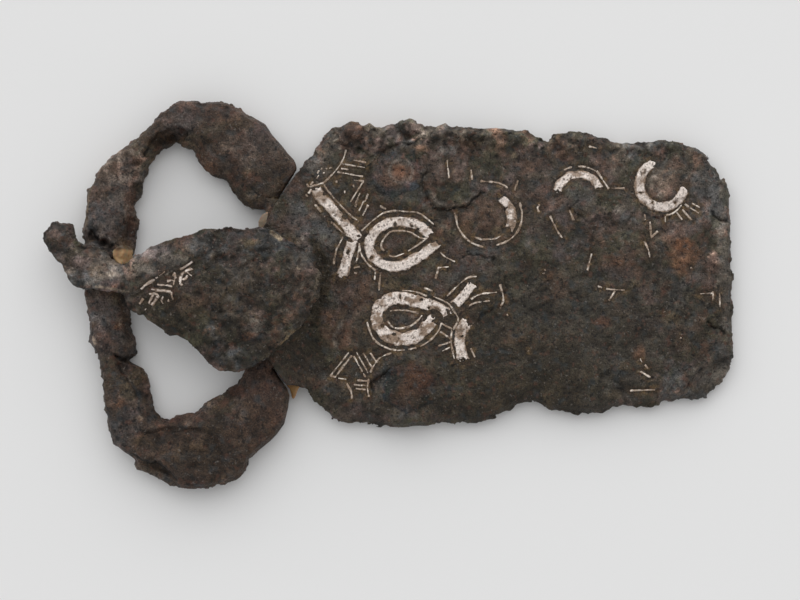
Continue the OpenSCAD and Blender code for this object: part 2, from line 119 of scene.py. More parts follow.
def rough(at, size, octaves, seed, fade=0.55):
    """Noise of several sizes, each half the one before and fainter by fade."""
    total = np.zeros(len(at))
    for octave in range(octaves):
        at = at @ TURNS[at.shape[1]]
        total += fade**octave * noise(at, size / 2**octave, seed + octave)
    return total


# A pit's radius as a share of its cell: the least, and how much more it may be
PIT_RADIUS = (0.12, 0.38)


def pits(xy, size, seed):
    """Scattered round pits: 1 in the middle of one, 0 off them, one in each cell of that size."""
    spot = xy / size
    cell = np.floor(spot).astype(np.int64)
    deep = np.zeros(len(xy))
    for step in itertools.product((-1, 0, 1), repeat=2):
        other = cell + np.array(step)
        middle = other + np.stack([lattice(other, seed), lattice(other, seed + 1)], 1)
        radius = PIT_RADIUS[0] + PIT_RADIUS[1] * lattice(other, seed + 2)
        gap = np.linalg.norm(spot - middle, axis=1)
        deep = np.maximum(deep, 1 - np.clip(gap / radius, 0, 1) ** 2)
    return deep


# How sharp the fine cracks are, from 0 to 1
CREVICE_SHARPNESS = 0.86


def crevices(at, size, seed):
    """1 along a wandering net of fine cracks and 0 off them."""
    return smooth_step(CREVICE_SHARPNESS, 1, 1 - np.abs(rough(at, size, 3, seed, 0.4)))


def wandering(xy, shift, size, seed):
    """The points moved by up to about that shift, which makes drawn edges ragged."""
    return xy + shift * np.stack([rough(xy, size, 3, seed), rough(xy, size, 3, seed + 6)], 1)


# Lines and areas in the plane


def curve(points, step=0.4):
    """A smooth line through the points, cut into short steps."""
    points = np.array(points, float)
    ends = np.concatenate([[2 * points[0] - points[1]], points, [2 * points[-1] - points[-2]]])
    line = []
    for a, b, c, d in zip(ends, ends[1:], ends[2:], ends[3:]):
        count = max(1, round(np.linalg.norm(c - b) / step))
        for t in np.arange(count) / count:
            line.append(b + t * (c - a) / 2 + t * t * (a - 2.5 * b + 2 * c - d / 2)
                        + t**3 * (1.5 * (b - c) + (d - a) / 2))
    return np.array(line + [points[-1]])


def arc(middle, radius, start, end, step=6):
    """Points on a round arc from one angle to another, in degrees anticlockwise."""
    turns = np.radians(np.linspace(start, end, max(2, round(abs(end - start) / step))))
    return np.array(middle) + radius * np.stack([np.cos(turns), np.sin(turns)], 1)


# Distances from lines are measured up to this far
REACH = 2.5


def near(xy, line, reach=REACH):
    """Distance of each point from the line, up to reach, and how far along the line that is."""
    gap = np.full(len(xy), reach, float)
    along = np.zeros(len(xy))
    done = 0
    line = np.asarray(line, float)
    for a, b in zip(line[:-1], line[1:]):
        way = b - a
        length = np.linalg.norm(way)
        close = np.nonzero(((xy > np.minimum(a, b) - reach) & (xy < np.maximum(a, b) + reach)).all(1))[0]
        place = np.clip((xy[close] - a) @ way / length**2, 0, 1)
        found = np.linalg.norm(xy[close] - a - place[:, None] * way, axis=1)
        better = found < gap[close]
        gap[close[better]] = found[better]
        along[close[better]] = done + place[better] * length
        done += length
    return gap, along


def within(xy, corners):
    """Which points lie inside the closed outline."""
    inside = np.zeros(len(xy), bool)
    for (ax, ay), (bx, by) in zip(corners, corners[1:] + corners[:1]):
        crosses = (ay > xy[:, 1]) != (by > xy[:, 1])
        if ay != by:
            inside ^= crosses & (xy[:, 0] < (bx - ax) * (xy[:, 1] - ay) / (by - ay) + ax)
    return inside


def area(xy, corners, edge):
    """1 inside the outline and 0 outside it, with an edge of that width between them."""
    gap = near(xy, corners + corners[:1])[0]
    return smooth_step(-edge / 2, edge / 2, np.where(within(xy, corners), gap, -gap))


# Share of an oval's radius that has its full strength
CORE = 0.35


def blob(xy, x, y, across, up, ragged, seed):
    """1 in the middle of an oval and 0 from its edge on, with a ragged edge."""
    away = np.hypot((xy[:, 0] - x) / across, (xy[:, 1] - y) / up)
    return 1 - smooth_step(CORE, 1, away + ragged * rough(xy, min(across, up), 3, seed))


def grid_points(first, counts, cell):
    """Points of a flat grid from its first cell on, one row each."""
    return (np.stack(np.meshgrid(*map(np.arange, counts), indexing="ij"), -1).reshape(-1, 2) + first) * cell


class Raster:
    """Values on a flat grid from its lowest corner on, read smoothly between its points."""

    def __init__(self, low, step, values):
        self.low = np.array(low, float)
        self.step = step
        self.values = values

    def __call__(self, xy):
        spot = (xy - self.low) / self.step
        top = np.array(self.values.shape[:2]) - 2
        cell = np.clip(np.floor(spot).astype(int), 0, top)
        part = np.clip(spot - cell, 0, 1)
        total = 0
        for i, j in itertools.product((0, 1), repeat=2):
            share = np.abs(1 - i - part[:, 0]) * np.abs(1 - j - part[:, 1])
            total = total + share[:, None] * self.values[cell[:, 0] + i, cell[:, 1] + j]
        return total


def sampled(low, high, step, work):
    """What work(xy) says over a rectangle of the plane, as a Raster."""
    counts = np.ceil((np.array(high) - np.array(low, float)) / step).astype(int) + 1
    axes = [start + step * np.arange(count) for start, count in zip(low, counts)]
    xy = np.stack(np.meshgrid(*axes, indexing="ij"), -1).reshape(-1, 2)
    return Raster(low, step, work(xy).reshape(*counts, -1))


# Solids on a grid, and meshes


def read(items, name, width, kind=np.float32):
    """One value of every item of a mesh as rows."""
    values = np.empty(len(items) * width, kind)
    items.foreach_get(name, values)
    return values.reshape(-1, width)


def main_island(points, faces):
    """The faces that hang together with most of the points."""
    edges = np.concatenate([np.stack([f[:, i], f[:, i - 1]], 1) for f in faces for i in range(f.shape[1])])
    label = np.arange(len(points))
    while True:
        low = label.copy()
        np.minimum.at(low, edges[:, 0], label[edges[:, 1]])
        np.minimum.at(low, edges[:, 1], label[edges[:, 0]])
        low = low[low]
        if (low == label).all():
            break
        label = low
    main = np.bincount(label).argmax()
    return [f[label[f[:, 0]] == main] for f in faces]


def make_mesh(name, points, faces):
    """A smooth-shaded mesh object from points in mm and arrays of three- and four-cornered faces."""
    used, where = np.unique(np.concatenate([f.ravel() for f in faces]), return_inverse=True)
    corners = np.concatenate([np.full(len(f), f.shape[1]) for f in faces])
    mesh = bpy.data.meshes.new(name)
    mesh.vertices.add(len(used))
    mesh.vertices.foreach_set("co", (points[used] * MM).astype(np.float32).ravel())
    mesh.loops.add(len(where))
    mesh.loops.foreach_set("vertex_index", where.astype(np.int32))
    mesh.polygons.add(len(corners))
    mesh.polygons.foreach_set("loop_start", (np.cumsum(corners) - corners).astype(np.int32))
    mesh.update(calc_edges=True)
    mesh.validate()
    mesh.shade_smooth()
    obj = bpy.data.objects.new(name, mesh)
    bpy.context.scene.collection.objects.link(obj)
    return obj


# How readily flat neighbouring faces of the iron and resin, and of the silver, become one
MERGE = 0.03
LEAF_MERGE = 0.02


def mesh_of(values, first, cell, merge, whole):
    """Points and faces between negative and positive values of a grid, without stray bits where whole."""
    grid = vdb.FloatGrid(float(values.max()))
    grid.copyFromArray(np.ascontiguousarray(values, np.float32), ijk=tuple(int(i) for i in first))
    grid.transform = vdb.createLinearTransform(cell)
    points, triangles, quads = grid.convertToPolygons(isovalue=0, adaptivity=merge)
    points = np.array(points, float)
    faces = [np.array(f, np.int64).reshape(-1, n)[:, ::-1] for f, n in ((triangles, 3), (quads, 4)) if len(f)]
    if whole:
        faces = main_island(points, faces)
    return points, faces


def finish_piece(name, points, faces, node, body, material, paint):
    """Makes the piece that stands for a CAD node, keeps it in the whole CAD model's box and paints it."""
    points = np.clip(points, np.array(cad_box[0]) / MM, np.array(cad_box[1]) / MM)
    obj = make_mesh(name, points, faces)
    at = read(obj.data.vertices, "co", 3).astype(float) / MM
    normal = read(obj.data.vertex_normals, "vector", 3)
    colour = np.ones((len(at), 4), np.float32)
    painted = paint(at, normal)
    colour[:, :painted.shape[1]] = np.clip(painted, 0, 1)
    layer = obj.data.color_attributes.new("paint", "FLOAT_COLOR", "POINT")
    layer.data.foreach_set("color", colour.ravel())
    obj.data.materials.append(material)
    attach(obj, body)
    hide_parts(node)


def softened(values, times):
    """A grid with its edges and corners rounded off, by averaging neighbours that many times."""
    for axis in (0, 1, 2) * times:
        values = (np.roll(values, 1, axis) + 2 * values + np.roll(values, -1, axis)) / 4
    return values


# Slope of a face, as the cosine off upright, where relief for upward faces starts and is full
UPWARD = (0.2, 0.75)


class Solid:
    """A CAD node as signed distances on a grid, negative inside, to be reshaped and meshed."""

    def __init__(self, node, cell, reach=1.8):
        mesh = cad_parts[node].data
        mesh.calc_loop_triangles()
        points = read(mesh.vertices, "co", 3) / np.float32(MM)
        corners = read(mesh.loop_triangles, "vertices", 3, np.int32).astype(np.uint32)
        self.cell = cell
        self.reach = reach
        grid = vdb.FloatGrid.createLevelSetFromPolygons(
            points, triangles=corners, transform=vdb.createLinearTransform(cell),
            halfWidth=math.ceil(reach / cell) + 1)
        self.first = np.floor(points.min(0) / cell).astype(int) - 4
        last = np.ceil(points.max(0) / cell).astype(int) + 4
        self.values = np.empty(last - self.first + 1, np.float32)
        grid.copyToArray(self.values, ijk=tuple(int(i) for i in self.first))

    def surface(self):
        """Index and place of the grid points that are near the surface."""
        index = np.nonzero(np.abs(self.values) < self.reach)
        return index, (np.stack(index, 1) + self.first) * self.cell

    def weather(self, relief, crumble, keep):
        """Raises upward faces by relief(xy) and the others by crumble(at), each times keep(at)."""
        index, at = self.surface()
        rise = (np.gradient(self.values, axis=2) / self.cell)[index]
        upward = smooth_step(*UPWARD, rise)
        shift = upward * relief(at[:, :2]) + (1 - upward) * crumble(at)
        self.values[index] -= shift * keep(at)

    def top(self):
        """Height of the highest surface over each column, as a Raster."""
        inside = self.values < 0
        height = inside.shape[2]
        k = height - 1 - np.argmax(inside[:, :, ::-1], axis=2)
        k = np.minimum(k, height - 2)
        below = np.take_along_axis(self.values, k[:, :, None], 2)[:, :, 0]
        above = np.take_along_axis(self.values, k[:, :, None] + 1, 2)[:, :, 0]
        z = (k + self.first[2] + np.clip(below / (below - above - 1e-6), 0, 1)) * self.cell
        z = np.where(inside.any(2), z, 0)
        return Raster(self.first[:2] * self.cell, self.cell, z[:, :, None])

    def piece(self, name, node, body, material, paint):
        """Meshes the solid as the piece that stands for the CAD node."""
        points, faces = mesh_of(self.values, self.first, self.cell, MERGE, True)
        finish_piece(name, points, faces, node, body, material, paint)


# Colours and materials


def seen(red, green, blue, sheen=0.01):
    """The base colour that looks like this sRGB value under the stage's light, less the sheen on it."""
    parts = np.array([red, green, blue]) / 255
    light = np.where(parts <= 0.04045, parts / 12.92, ((parts + 0.055) / 1.055) ** 2.4)
    return np.maximum(light - sheen, 0.002)


class Shader:
    """The node tree of one material, with short calls for the nodes used here."""

    def __init__(self, name):
        self.material = bpy.data.materials.new(name)
        self.material.use_nodes = True
        self.nodes = self.material.node_tree.nodes
        self.links = self.material.node_tree.links
        self.surface = self.nodes["Principled BSDF"]
        self.place = self.nodes.new("ShaderNodeTexCoord").outputs["Object"]

    def link(self, source, node, socket):
        self.links.new(source, node.inputs[socket])

    def grain(self, size, detail=3.0, roughness=0.6, seed=0.0):
        """Noise with grains of that size in mm."""
        node = self.nodes.new("ShaderNodeTexNoise")
        node.noise_dimensions = "4D"
        node.inputs["W"].default_value = seed
        node.inputs["Scale"].default_value = 1 / (size * MM)
        node.inputs["Detail"].default_value = detail
        node.inputs["Roughness"].default_value = roughness
        self.link(self.place, node, "Vector")
        return node.outputs["Fac"]

    def spread(self, source, low, high, to_low, to_high):
        """Maps a value from one range to another and clamps it."""
        node = self.nodes.new("ShaderNodeMapRange")
        for socket, value in (("From Min", low), ("From Max", high), ("To Min", to_low), ("To Max", to_high)):
            node.inputs[socket].default_value = value
        self.link(source, node, "Value")
        return node.outputs["Result"]

    def blend(self, mode, share, a, b):
        """Blends colour b over a, where b is a colour or a socket and share a number or a socket."""
        node = self.nodes.new("ShaderNodeMix")
        node.data_type = "RGBA"
        node.blend_type = mode
        for socket, value in ((0, share), (6, a), (7, b)):
            if isinstance(value, bpy.types.NodeSocket):
                self.links.new(value, node.inputs[socket])
            elif socket == 0:
                node.inputs[0].default_value = value
            else:
                node.inputs[socket].default_value = (*value, 1)
        return node.outputs[2]

    def paint(self):
        """The colour painted on the mesh's points."""
        node = self.nodes.new("ShaderNodeVertexColor")
        node.layer_name = "paint"
        return node.outputs["Color"]

    def bump(self, height, depth, below=None):
        """Bumps of that depth in mm."""
        node = self.nodes.new("ShaderNodeBump")
        node.inputs["Distance"].default_value = depth * MM
        self.link(height, node, "Height")
        if below:
            self.link(below, node, "Normal")
        return node.outputs["Normal"]


# Range of a grain noise that is spread over the whole change of tone
GRAIN_RANGE = (0.34, 0.66)

# Specks of the iron: size in grains, seed, noise where they start and are full, share, colour. The pale ones
# are partly dust and partly painted glints, and the dark ones are painted shade of fine pits.
IRON_SPECKS = [
    (3.4, 7, 0.59, 0.7, 0.35, seen(98, 66, 54)), (6, 9, 0.57, 0.7, 0.4, seen(58, 66, 70)),
    (1.5, 11, 0.65, 0.74, 0.4, seen(132, 126, 120)), (2.2, 13, 0.59, 0.7, 0.75, seen(28, 27, 25))]

# Brown in the silver's fine pits
PIT_TONE = seen(84, 66, 52)


def iron_material(name, grain, sheen, contrast):
    """Mineralised iron: the painted tone with fine grain, rusty specks, pale specks partly of dust and partly
    painted glints, dark specks of painted pit shade, and a dull sheen.
    """
    shader = Shader(name)
    tone = shader.paint()
    fine = shader.grain(grain, 4, 0.7)
    coarse = shader.grain(4 * grain, 4, 0.62, 3.0)
    for grains, change in ((fine, contrast), (coarse, 0.55 * contrast)):
        light = shader.spread(grains, *GRAIN_RANGE, 1 - change, 1 + change)
        tone = shader.blend("MULTIPLY", 1.0, tone, light)
    for size, seed, low, high, share, colour in IRON_SPECKS:
        specks = shader.spread(shader.grain(size * grain, 1, 0.5, seed), low, high, 0.0, share)
        tone = shader.blend("MIX", specks, tone, tuple(colour))
    shader.link(tone, shader.surface, "Base Color")
    shader.link(shader.spread(coarse, 0.35, 0.65, 0.3, 0.6), shader.surface, "Roughness")
    shader.surface.inputs["Specular IOR Level"].default_value = sheen
    fine_bumps = shader.bump(fine, 0.85 * grain)
    shader.link(shader.bump(coarse, 2.4 * grain, fine_bumps), shader.surface, "Normal")
    return shader.material


def silver_material(name):
    """Worn silver leaf: bright, dulled by brown stains and fine pits."""
    shader = Shader(name)
    tone = shader.paint()
    fine = shader.grain(0.35, 3, 0.6)
    pitted = shader.spread(shader.grain(0.4, 3, 0.6, 5.0), 0.57, 0.66, 0.0, 1.0)
    tone = shader.blend("MULTIPLY", 1.0, tone, shader.spread(fine, *GRAIN_RANGE, 0.72, 1.25))
    tone = shader.blend("MIX", shader.spread(pitted, 0, 1, 0, 0.8), tone, tuple(PIT_TONE))
    shader.link(tone, shader.surface, "Base Color")
    shader.link(shader.spread(pitted, 0.0, 1.0, 0.15, 0.0), shader.surface, "Metallic")
    shader.link(shader.spread(fine, 0.3, 0.7, 0.4, 0.6), shader.surface, "Roughness")
    shader.link(shader.bump(fine, 0.12), shader.surface, "Normal")
    return shader.material


def resin_material(name):
    """Yellowish resin, a little clear, with dust in it."""
    shader = Shader(name)
    tone = shader.paint()
    fine = shader.grain(0.6, 3, 0.6)
    tone = shader.blend("MULTIPLY", 1.0, tone, shader.spread(fine, 0.3, 0.7, 0.88, 1.1))
    shader.link(tone, shader.surface, "Base Color")
    shader.link(shader.spread(fine, 0.3, 0.7, 0.25, 0.45), shader.surface, "Roughness")
    shader.surface.inputs["Subsurface Weight"].default_value = 0.4
    shader.surface.inputs["Subsurface Scale"].default_value = 1.0 * MM
    shader.link(shader.bump(fine, 0.2), shader.surface, "Normal")
    return shader.material


IRON = iron_material("iron", grain=0.3, sheen=0.22, contrast=0.62)
CRUSTED = iron_material("rusted_iron", grain=0.34, sheen=0.25, contrast=0.75)
SILVER = silver_material("silver")
RESIN = resin_material("resin")

# How dark the iron is, against the tones read from the photograph
IRON_DEPTH = 0.8
GREY_BROWN = seen(58, 55, 52)
BLUE_GREY = seen(58, 65, 71)
RED_BROWN = seen(88, 63, 55)
ORANGE = seen(112, 78, 60)
OCHRE = seen(96, 84, 66)
PALE = seen(114, 109, 103)
GREENISH = seen(44, 49, 39)
SLATE = seen(47, 51, 51)
DARK = seen(28, 26, 22, 0.005)
GROOVE = seen(60, 49, 38, 0.006)
PINKISH = seen(88, 71, 71)
RUSTY = seen(98, 78, 64)
CREAM = seen(165, 148, 128)
GOLDEN = seen(112, 92, 66)
ROSY = seen(156, 126, 112)

# Hue that the paler areas tend to, and how far
DULL = np.array([1.18, 0.98, 0.82])
DULLING = 0.3

# Drifts of the iron's tone: colour, size, noise where one starts and is full, share, added to the seed
DRIFTS = [
    (BLUE_GREY, 5, 0, 0.5, 0.85, 0), (PINKISH, 3.6, 0.05, 0.6, 0.6, 10), (GREENISH, 4.4, 0.1, 0.55, 0.75, 20),
    (RED_BROWN, 2.8, 0.25, 0.8, 0.65, 30), (DARK, 2.2, 0.4, 0.95, 0.6, 35), (ORANGE, 1.8, 0.8, 1.3, 0.5, 40),
    (PALE, 1.5, 0.7, 1.2, 0.4, 43)]

# Drifts of its lightness: strength, size, added to the seed; and the least lightness
LIGHT_DRIFTS = [(0.16, 6, 45), (0.28, 2.4, 50), (0.32, 0.9, 60)]
LEAST_LIGHT = 0.3

# How much fades from one octave of the broken tones and surfaces to the next
COARSE_FADE = 0.62
GRITTY_FADE = 0.7


def mottled(at, base, seed, deep=1.0):
    """The base tone with broad and fine drifts to darker, rusty, pinkish, pale and blue-grey."""
    tone = np.tile(base, (len(at), 1))
    for colour, size, low, high, share, step in DRIFTS:
        drift = rough(at, size, 4, seed + step, COARSE_FADE)
        tone = mix(tone, colour, share * smooth_step(low, high, drift))
    drifts = [strength * rough(at, size, 2, seed + step) for strength, size, step in LIGHT_DRIFTS]
    light = 1 + deep * sum(drifts)
    return tone * np.maximum(light, LEAST_LIGHT)[:, None]


def lay_stains_and_painted_light(tone, xy, stains):
    """Lays a table's stains and patches of painted light and shade over the tone: X, Y, half width, half
    height, colour, strength.
    """
    for x, y, across, up, colour, strength in stains:
        tone = mix(tone, colour, strength * blob(xy, x, y, across, up, 0.35, 500))
    return tone


def strokes(tone, xy, lines):
    """Draws the thin lines of a table over the tone: line, half width, colour, strength."""
    for line, half, colour, strength in lines:
        tone = mix(tone, colour, strength * (1 - smooth_step(0.4, 1.0, near(xy, line)[0] / half)))
    return tone


def shade(tone, xy, shades):
    """Makes broad areas darker, or paler and duller: X, Y, half width, half height, factor in the middle."""
    for x, y, across, up, factor in shades:
        light = factor ** blob(xy, x, y, across, up, 0.15, 510)
        tone = tone * light[:, None]
        dull = tone.mean(1)[:, None] * DULL
        tone = mix(tone, dull, DULLING * np.clip(light - 1, 0, 1))
    return tone


def iron_tone(at, base, seed, stains, lines, shades, deep=1.0):
    """The iron's tone with the stains, streaks and broad shades of its tables, some of which are painted
    light and shade.
    """
    xy = at[:, :2]
    tone = strokes(lay_stains_and_painted_light(mottled(at, base, seed, deep), xy, stains), xy, lines)
    return IRON_DEPTH * shade(tone, xy, shades)


def sides(tone, normal, low, high, colour, share):
    """Turns the tone of faces that don't look up towards a colour."""
    return mix(tone, IRON_DEPTH * colour, share * (1 - smooth_step(low, high, normal[:, 2])))


def hollows(tone, fine, strength, deepest):
    """Darkens the hollows of the fine relief with painted shade and lightens its grains with painted light.
    """
    return tone * np.exp(strength * np.clip(fine, deepest, 0.2))[:, None]


# Relief that the iron pieces share


def lumps(height, xy, table, ragged, seed):
    """Adds ragged ovals: X, Y, half width, half height, height."""
    for x, y, across, up, rise in table:
        height += rise * blob(xy, x, y, across, up, ragged, seed)
    return height


def steps(height, xy, table):
    """Adds steps between layers: outline, height, width of the edge."""
    for outline, rise, edge in table:
        height += rise * area(xy, outline, edge)
    return height


def cracks(fine, xy, table):
    """Cuts cracks: line, half width, depth. Their edges spread past the half width."""
    for line, half, depth in table:
        fine -= depth * (1 - smooth_step(0, 1, near(xy, line)[0] / half / 1.6))
    return fine


# Silver inlay

# Middle line, width and wear of each band
BANDS = {
    "band_slant": (curve([(-14.8, 21.2), (-13.8, 19.4), (-12.4, 18), (-11, 16.4), (-9.6, 14.8), (-8, 13),
        (-6.6, 11.4)]), 2.2, 0.6),
    "band_stem": (curve([(-7.4, 11), (-8.2, 8.6), (-8.8, 6.6), (-9.7, 3.6)]), 2.2, 0.35),
    "band_upper_loop": (curve([(8, 12), (6, 13.6), (4, 14.4), (2, 14.7), (0, 14.4), (-2, 13.5),
        (-3.4, 12.1), (-4.1, 10.5), (-3.9, 8.6), (-2.8, 7), (-1, 5.9), (1, 5.6), (3, 6), (5, 7.1), (7, 8.4),
        (8.6, 9.6), (9.6, 10.4)]), 2.1, 0.4),
    "band_lower_loop": (curve([(11.2, -3.7), (10, -3.05), (7.6, -2.05), (5, -1.25), (2.4, -0.65),
        (0.4, -0.85), (-1.2, -1.65), (-2.4, -2.85), (-2.7, -4.45), (-2.2, -6.25), (-0.8, -7.85),
        (1.2, -8.75), (3.2, -8.85), (5.2, -8.25), (7, -6.85), (8.6, -5)]), 2.6, 0.95),
    "band_branch": (curve([(13, -2.1), (14.6, -0.3), (16.6, 2.1)]), 2, 0.3),
    "band_foot": (curve([(15.4, -5.5), (14.2, -7.3), (14, -9.5), (14.5, -12.8)]), 2.4, 0.7),
    "ring_middle": (curve([(22.4, 19.2), (23.6, 18), (24.2, 16.4), (24.3, 14.8), (23.8, 13.2)]), 1.8, 0.8),
    "ring_arch": (arc((37.8, 19.5), 4.5, 162, 26), 1.7, 0.5),
    "ring_end": (arc((54.4, 22.1), 4.5, 110, 350), 2, 0.5)}

# Places where a band is lost or eaten away: X, Y, half width, half height
LOSSES = [
    (-8.9, 15.9, 0.9, 0.8), (-9.8, 12.8, 0.3, 0.3), (-13.2, 20.2, 0.3, 0.35), (-8.4, 8.5, 0.4, 0.6),
    (1, 14.2, 0.3, 0.6), (4.4, 13.8, 0.4, 0.35), (5.6, 13.2, 0.4, 0.3), (-3.6, 7.4, 0.45, 0.5),
    (9.6, 10.9, 0.5, 0.4), (2, -0.5, 0.25, 0.6), (7.8, -2.6, 0.3, 0.4), (6.2, -1, 0.4, 0.3),
    (-1.6, -6.2, 0.5, 0.5), (0.8, -7.9, 0.5, 0.35), (9.4, -5.4, 0.4, 0.4), (14.4, -8.3, 0.3, 0.4),
    (36.6, 22.9, 0.8, 0.3), (38.4, 22.8, 0.5, 0.3), (50.2, 20.4, 0.6, 0.25), (57, 18.4, 0.3, 0.3),
    (52.4, 18.4, 0.3, 0.3), (23.4, 17.4, 0.3, 0.3)]

# Brown and golden stains on the bands: X, Y, half width, half height, strength
SILVER_STAINS = [
    (4.4, -1.2, 1.6, 0.9, 0.9), (8, -6.2, 1, 0.8, 0.8), (-1.8, -1.6, 1.2, 1.2, 0.7),
    (-2.8, -4.4, 0.7, 1.6, 0.5), (0.2, -8.6, 2.6, 1.2, 0.7), (8.8, -2.6, 1.2, 0.8, 0.7),
    (-13.6, 19.2, 1.6, 1.6, 0.8), (-9.2, 6.6, 0.7, 1.4, 0.6), (7, 12.8, 1.4, 1, 0.7),
    (9, 10.2, 1.4, 0.8, 0.6), (24.1, 14, 1, 1.4, 0.8), (37.2, 23.9, 1.4, 0.8, 0.8),
    (40.6, 22.4, 0.8, 1, 0.5), (50.6, 23.6, 0.8, 2, 0.5), (14.2, -8, 1.4, 2, 0.5), (2, 14.5, 1.2, 0.8, 0.4)]

# Width and middle lines of the fine wires
WIRE = 0.36
PLATE_WIRES = [
    curve([(-8.8, 29), (-9.4, 27), (-10.4, 25.4), (-11.8, 23.8), (-13.4, 22.4), (-16, 21.6)]),
    curve([(-13.4, 22.2), (-12.4, 20.8), (-10.4, 18.4), (-8, 16), (-6.2, 14.6)]), [(-15, 18), (-13, 15.6)],
    curve([(-11.8, 14.6), (-9.4, 12.4), (-7.6, 11.4)]), [(-7.2, 26.9), (-4.8, 26.4)],
    [(-9.6, 26.2), (-5, 25.4)], [(-9.9, 25.2), (-8.2, 25)], [(-10.6, 24.6), (-5.4, 23.6)],
    [(-10, 23.2), (-9.2, 23.2)], [(-7.2, 22.9), (-5.3, 22.7), (-7.9, 18.6)], [(-6, 20.4), (-7, 17.6)],
    [(-4.4, 20.2), (-5, 18.6)], [(-5.2, 18.8), (-6.2, 16.8)], [(-4.4, 18), (-5.4, 15.9)],
    curve([(-9.4, 11.6), (-10.2, 10), (-10.8, 8.8), (-11.3, 6.1)]),
    curve([(-6.1, 10.4), (-6.4, 8), (-6.8, 6.4)]), [(-7.2, 5.4), (-6, 5.6)], [(-7.2, 4.4), (-6.6, 4.2)],
    curve([(-1.8, 10), (-1.2, 11.2), (0, 12.5), (1.8, 12.8), (4, 12.5), (6.2, 11.3), (7.4, 11.3)]),
    curve([(7.4, 11.3), (5.6, 10), (3, 8.4), (0.6, 7.6), (-0.8, 8.4), (-1.7, 9.4), (-1.8, 10.2)]),
    curve([(-6, 12.5), (-4.8, 13.6), (-3, 15.2), (-1.2, 16.4), (1.2, 16.8), (3.4, 16.6), (5.6, 16.4),
        (7.4, 15.2), (8.8, 14)]),
    curve([(-6.1, 10), (-5.8, 8.2), (-4.4, 6.1), (-2.8, 4.8)]), [(-2, 17.8), (-0.8, 17.1)],
    curve([(10, 8.6), (11, 7.6), (13, 6.6)]), [(-1.9, 4.4), (-2.2, 0.8)], [(-2.9, 4.6), (-3.1, 3)],
    [(11.8, 5.6), (9.7, 5.4), (9.1, 3.2)], curve([(0, -3.3), (1.2, -3.1), (3.4, -3.2), (5.8, -3.7)]),
    curve([(6.4, -4.1), (5.8, -4.9), (4.4, -6.1), (2.4, -6.7), (0.6, -6.5), (-0.6, -5.1)]),
    curve([(2.4, 0.9), (5, 0.6), (7.4, -0.3)]), [(6.8, 1.4), (8.6, 0.7)],
    curve([(8.6, -0.3), (11.5, -1.7), (13.2, -3.9), (13.6, -5.1), (12.6, -7.1)]),
    curve([(-4.6, -5.5), (-3.6, -8.3), (-2.4, -9.7), (0, -10.9), (2.4, -11.1), (5.6, -10.5), (8, -9.1),
        (9.6, -7.3), (10.3, -5.7)]),
    curve([(11.4, -0.3), (13.2, 1.5), (15.4, 3.3), (17.5, 3.7)]),
    curve([(15.4, -2.7), (16.8, -1.7), (20, -1.2)]), curve([(16.2, -0.9), (18.1, 0.1), (21.4, 0.5)]),
    curve([(22, 2.1), (22.7, -0.9), (22, -2.7)]), curve([(12.4, -7.1), (12.2, -9.5), (12.9, -12.9)]),
    [(16.1, -10.7), (17, -12.5)], [(10, -7.3), (12.2, -8.9)], [(9.6, -10.3), (12, -9.5)],
    [(10.4, -11.3), (12, -10.5)], [(10.2, -5.7), (12.4, -6.9)],
    [(-8.2, -11.5), (-11.9, -16.2), (-11, -16.5), (-7.6, -12.1)], [(-10.4, -16.7), (-8.7, -16.9)],
    curve([(-8.7, -17.7), (-7.8, -19.3), (-7.6, -20.8)]), [(-6.7, -11.5), (-4.4, -15.6)],
    [(-5.4, -11.6), (-3.5, -14.7)], [(-4, -11.6), (-2.6, -13.6)], [(-7.3, -12.2), (-4.9, -16.5)],
    curve([(0.3, -11.7), (-1.2, -12.2), (-2.4, -13), (-3.6, -14.8), (-4.2, -16.5), (-4.5, -18.7),
        (-4.2, -20.5)]),
    [(-6.6, -17.1), (-4.4, -17.3)], [(-7.2, -18), (-4.7, -18.2)], [(-6.8, -18.8), (-4.9, -19)],
    arc((37.8, 19.5), 6.2, 120, 104), arc((37.8, 19.5), 6.2, 92, 54), [(41.4, 24.7), (43.8, 21.1)],
    curve([(30, 18.1), (29.5, 17.4), (29.8, 16.5)]),
    curve([(32, 15.7), (32.8, 14.1), (33.7, 12.4), (34.5, 11.3)]), [(35.9, 16.9), (36.7, 14.9)],
    [(39.8, 29.7), (42.3, 29.1)], [(44.4, 21.3), (47, 21.3)], [(16.2, 24.9), (16.4, 22.9)],
    [(11.4, 26.9), (11.8, 23.3)], [(13.2, 16.1), (13.5, 13.7)],
    curve([(18.1, 22.7), (20.8, 22.5), (22.4, 22.1), (23.6, 21.3)]), [(25.6, 22.9), (24.9, 20.9)],
    curve([(13, 16.4), (13.4, 14), (14.6, 12), (16, 10.6), (18.6, 9.5)]),
    curve([(21.2, 9.9), (23.4, 10.7), (25.2, 12.2), (26.2, 14.2), (26.4, 16.4), (26, 18.4)]),
    curve([(16.8, 11.6), (18.2, 11.1), (19.6, 11.1), (21, 11.2), (22.2, 11.8)]),
    curve([(55.2, 15.9), (56.4, 16.2), (57.6, 17.1), (58.4, 18)]), [(60.4, 18.3), (62, 17.4)],
    [(60.1, 17.3), (61.8, 16.3)], [(59, 18.1), (60, 17.4)], [(58.4, 17.1), (60.4, 14.9)],
    [(57.3, 16.5), (58.4, 15.1)], [(51, 16.1), (51, 14.9)], [(52, 14.6), (52.3, 11.5), (53.6, 12.7)],
    [(55.1, 15.7), (55.1, 14.6)], curve([(50.9, 10.7), (51.7, 8.9), (52, 7.4)]), [(62, 0.2), (64.6, 0.3)],
    [(64.6, 0.7), (64.6, -1.3)], [(65.9, 0.9), (66, -2.5)], curve([(41.6, 1.7), (43.6, 1.1), (47, 0.9)]),
    [(45, 0.8), (43.8, -1.1)], [(40.4, 8.3), (39.5, 4.9)], [(48, -19.2), (53, -19)],
    [(50, -15.3), (52, -16.5)]]

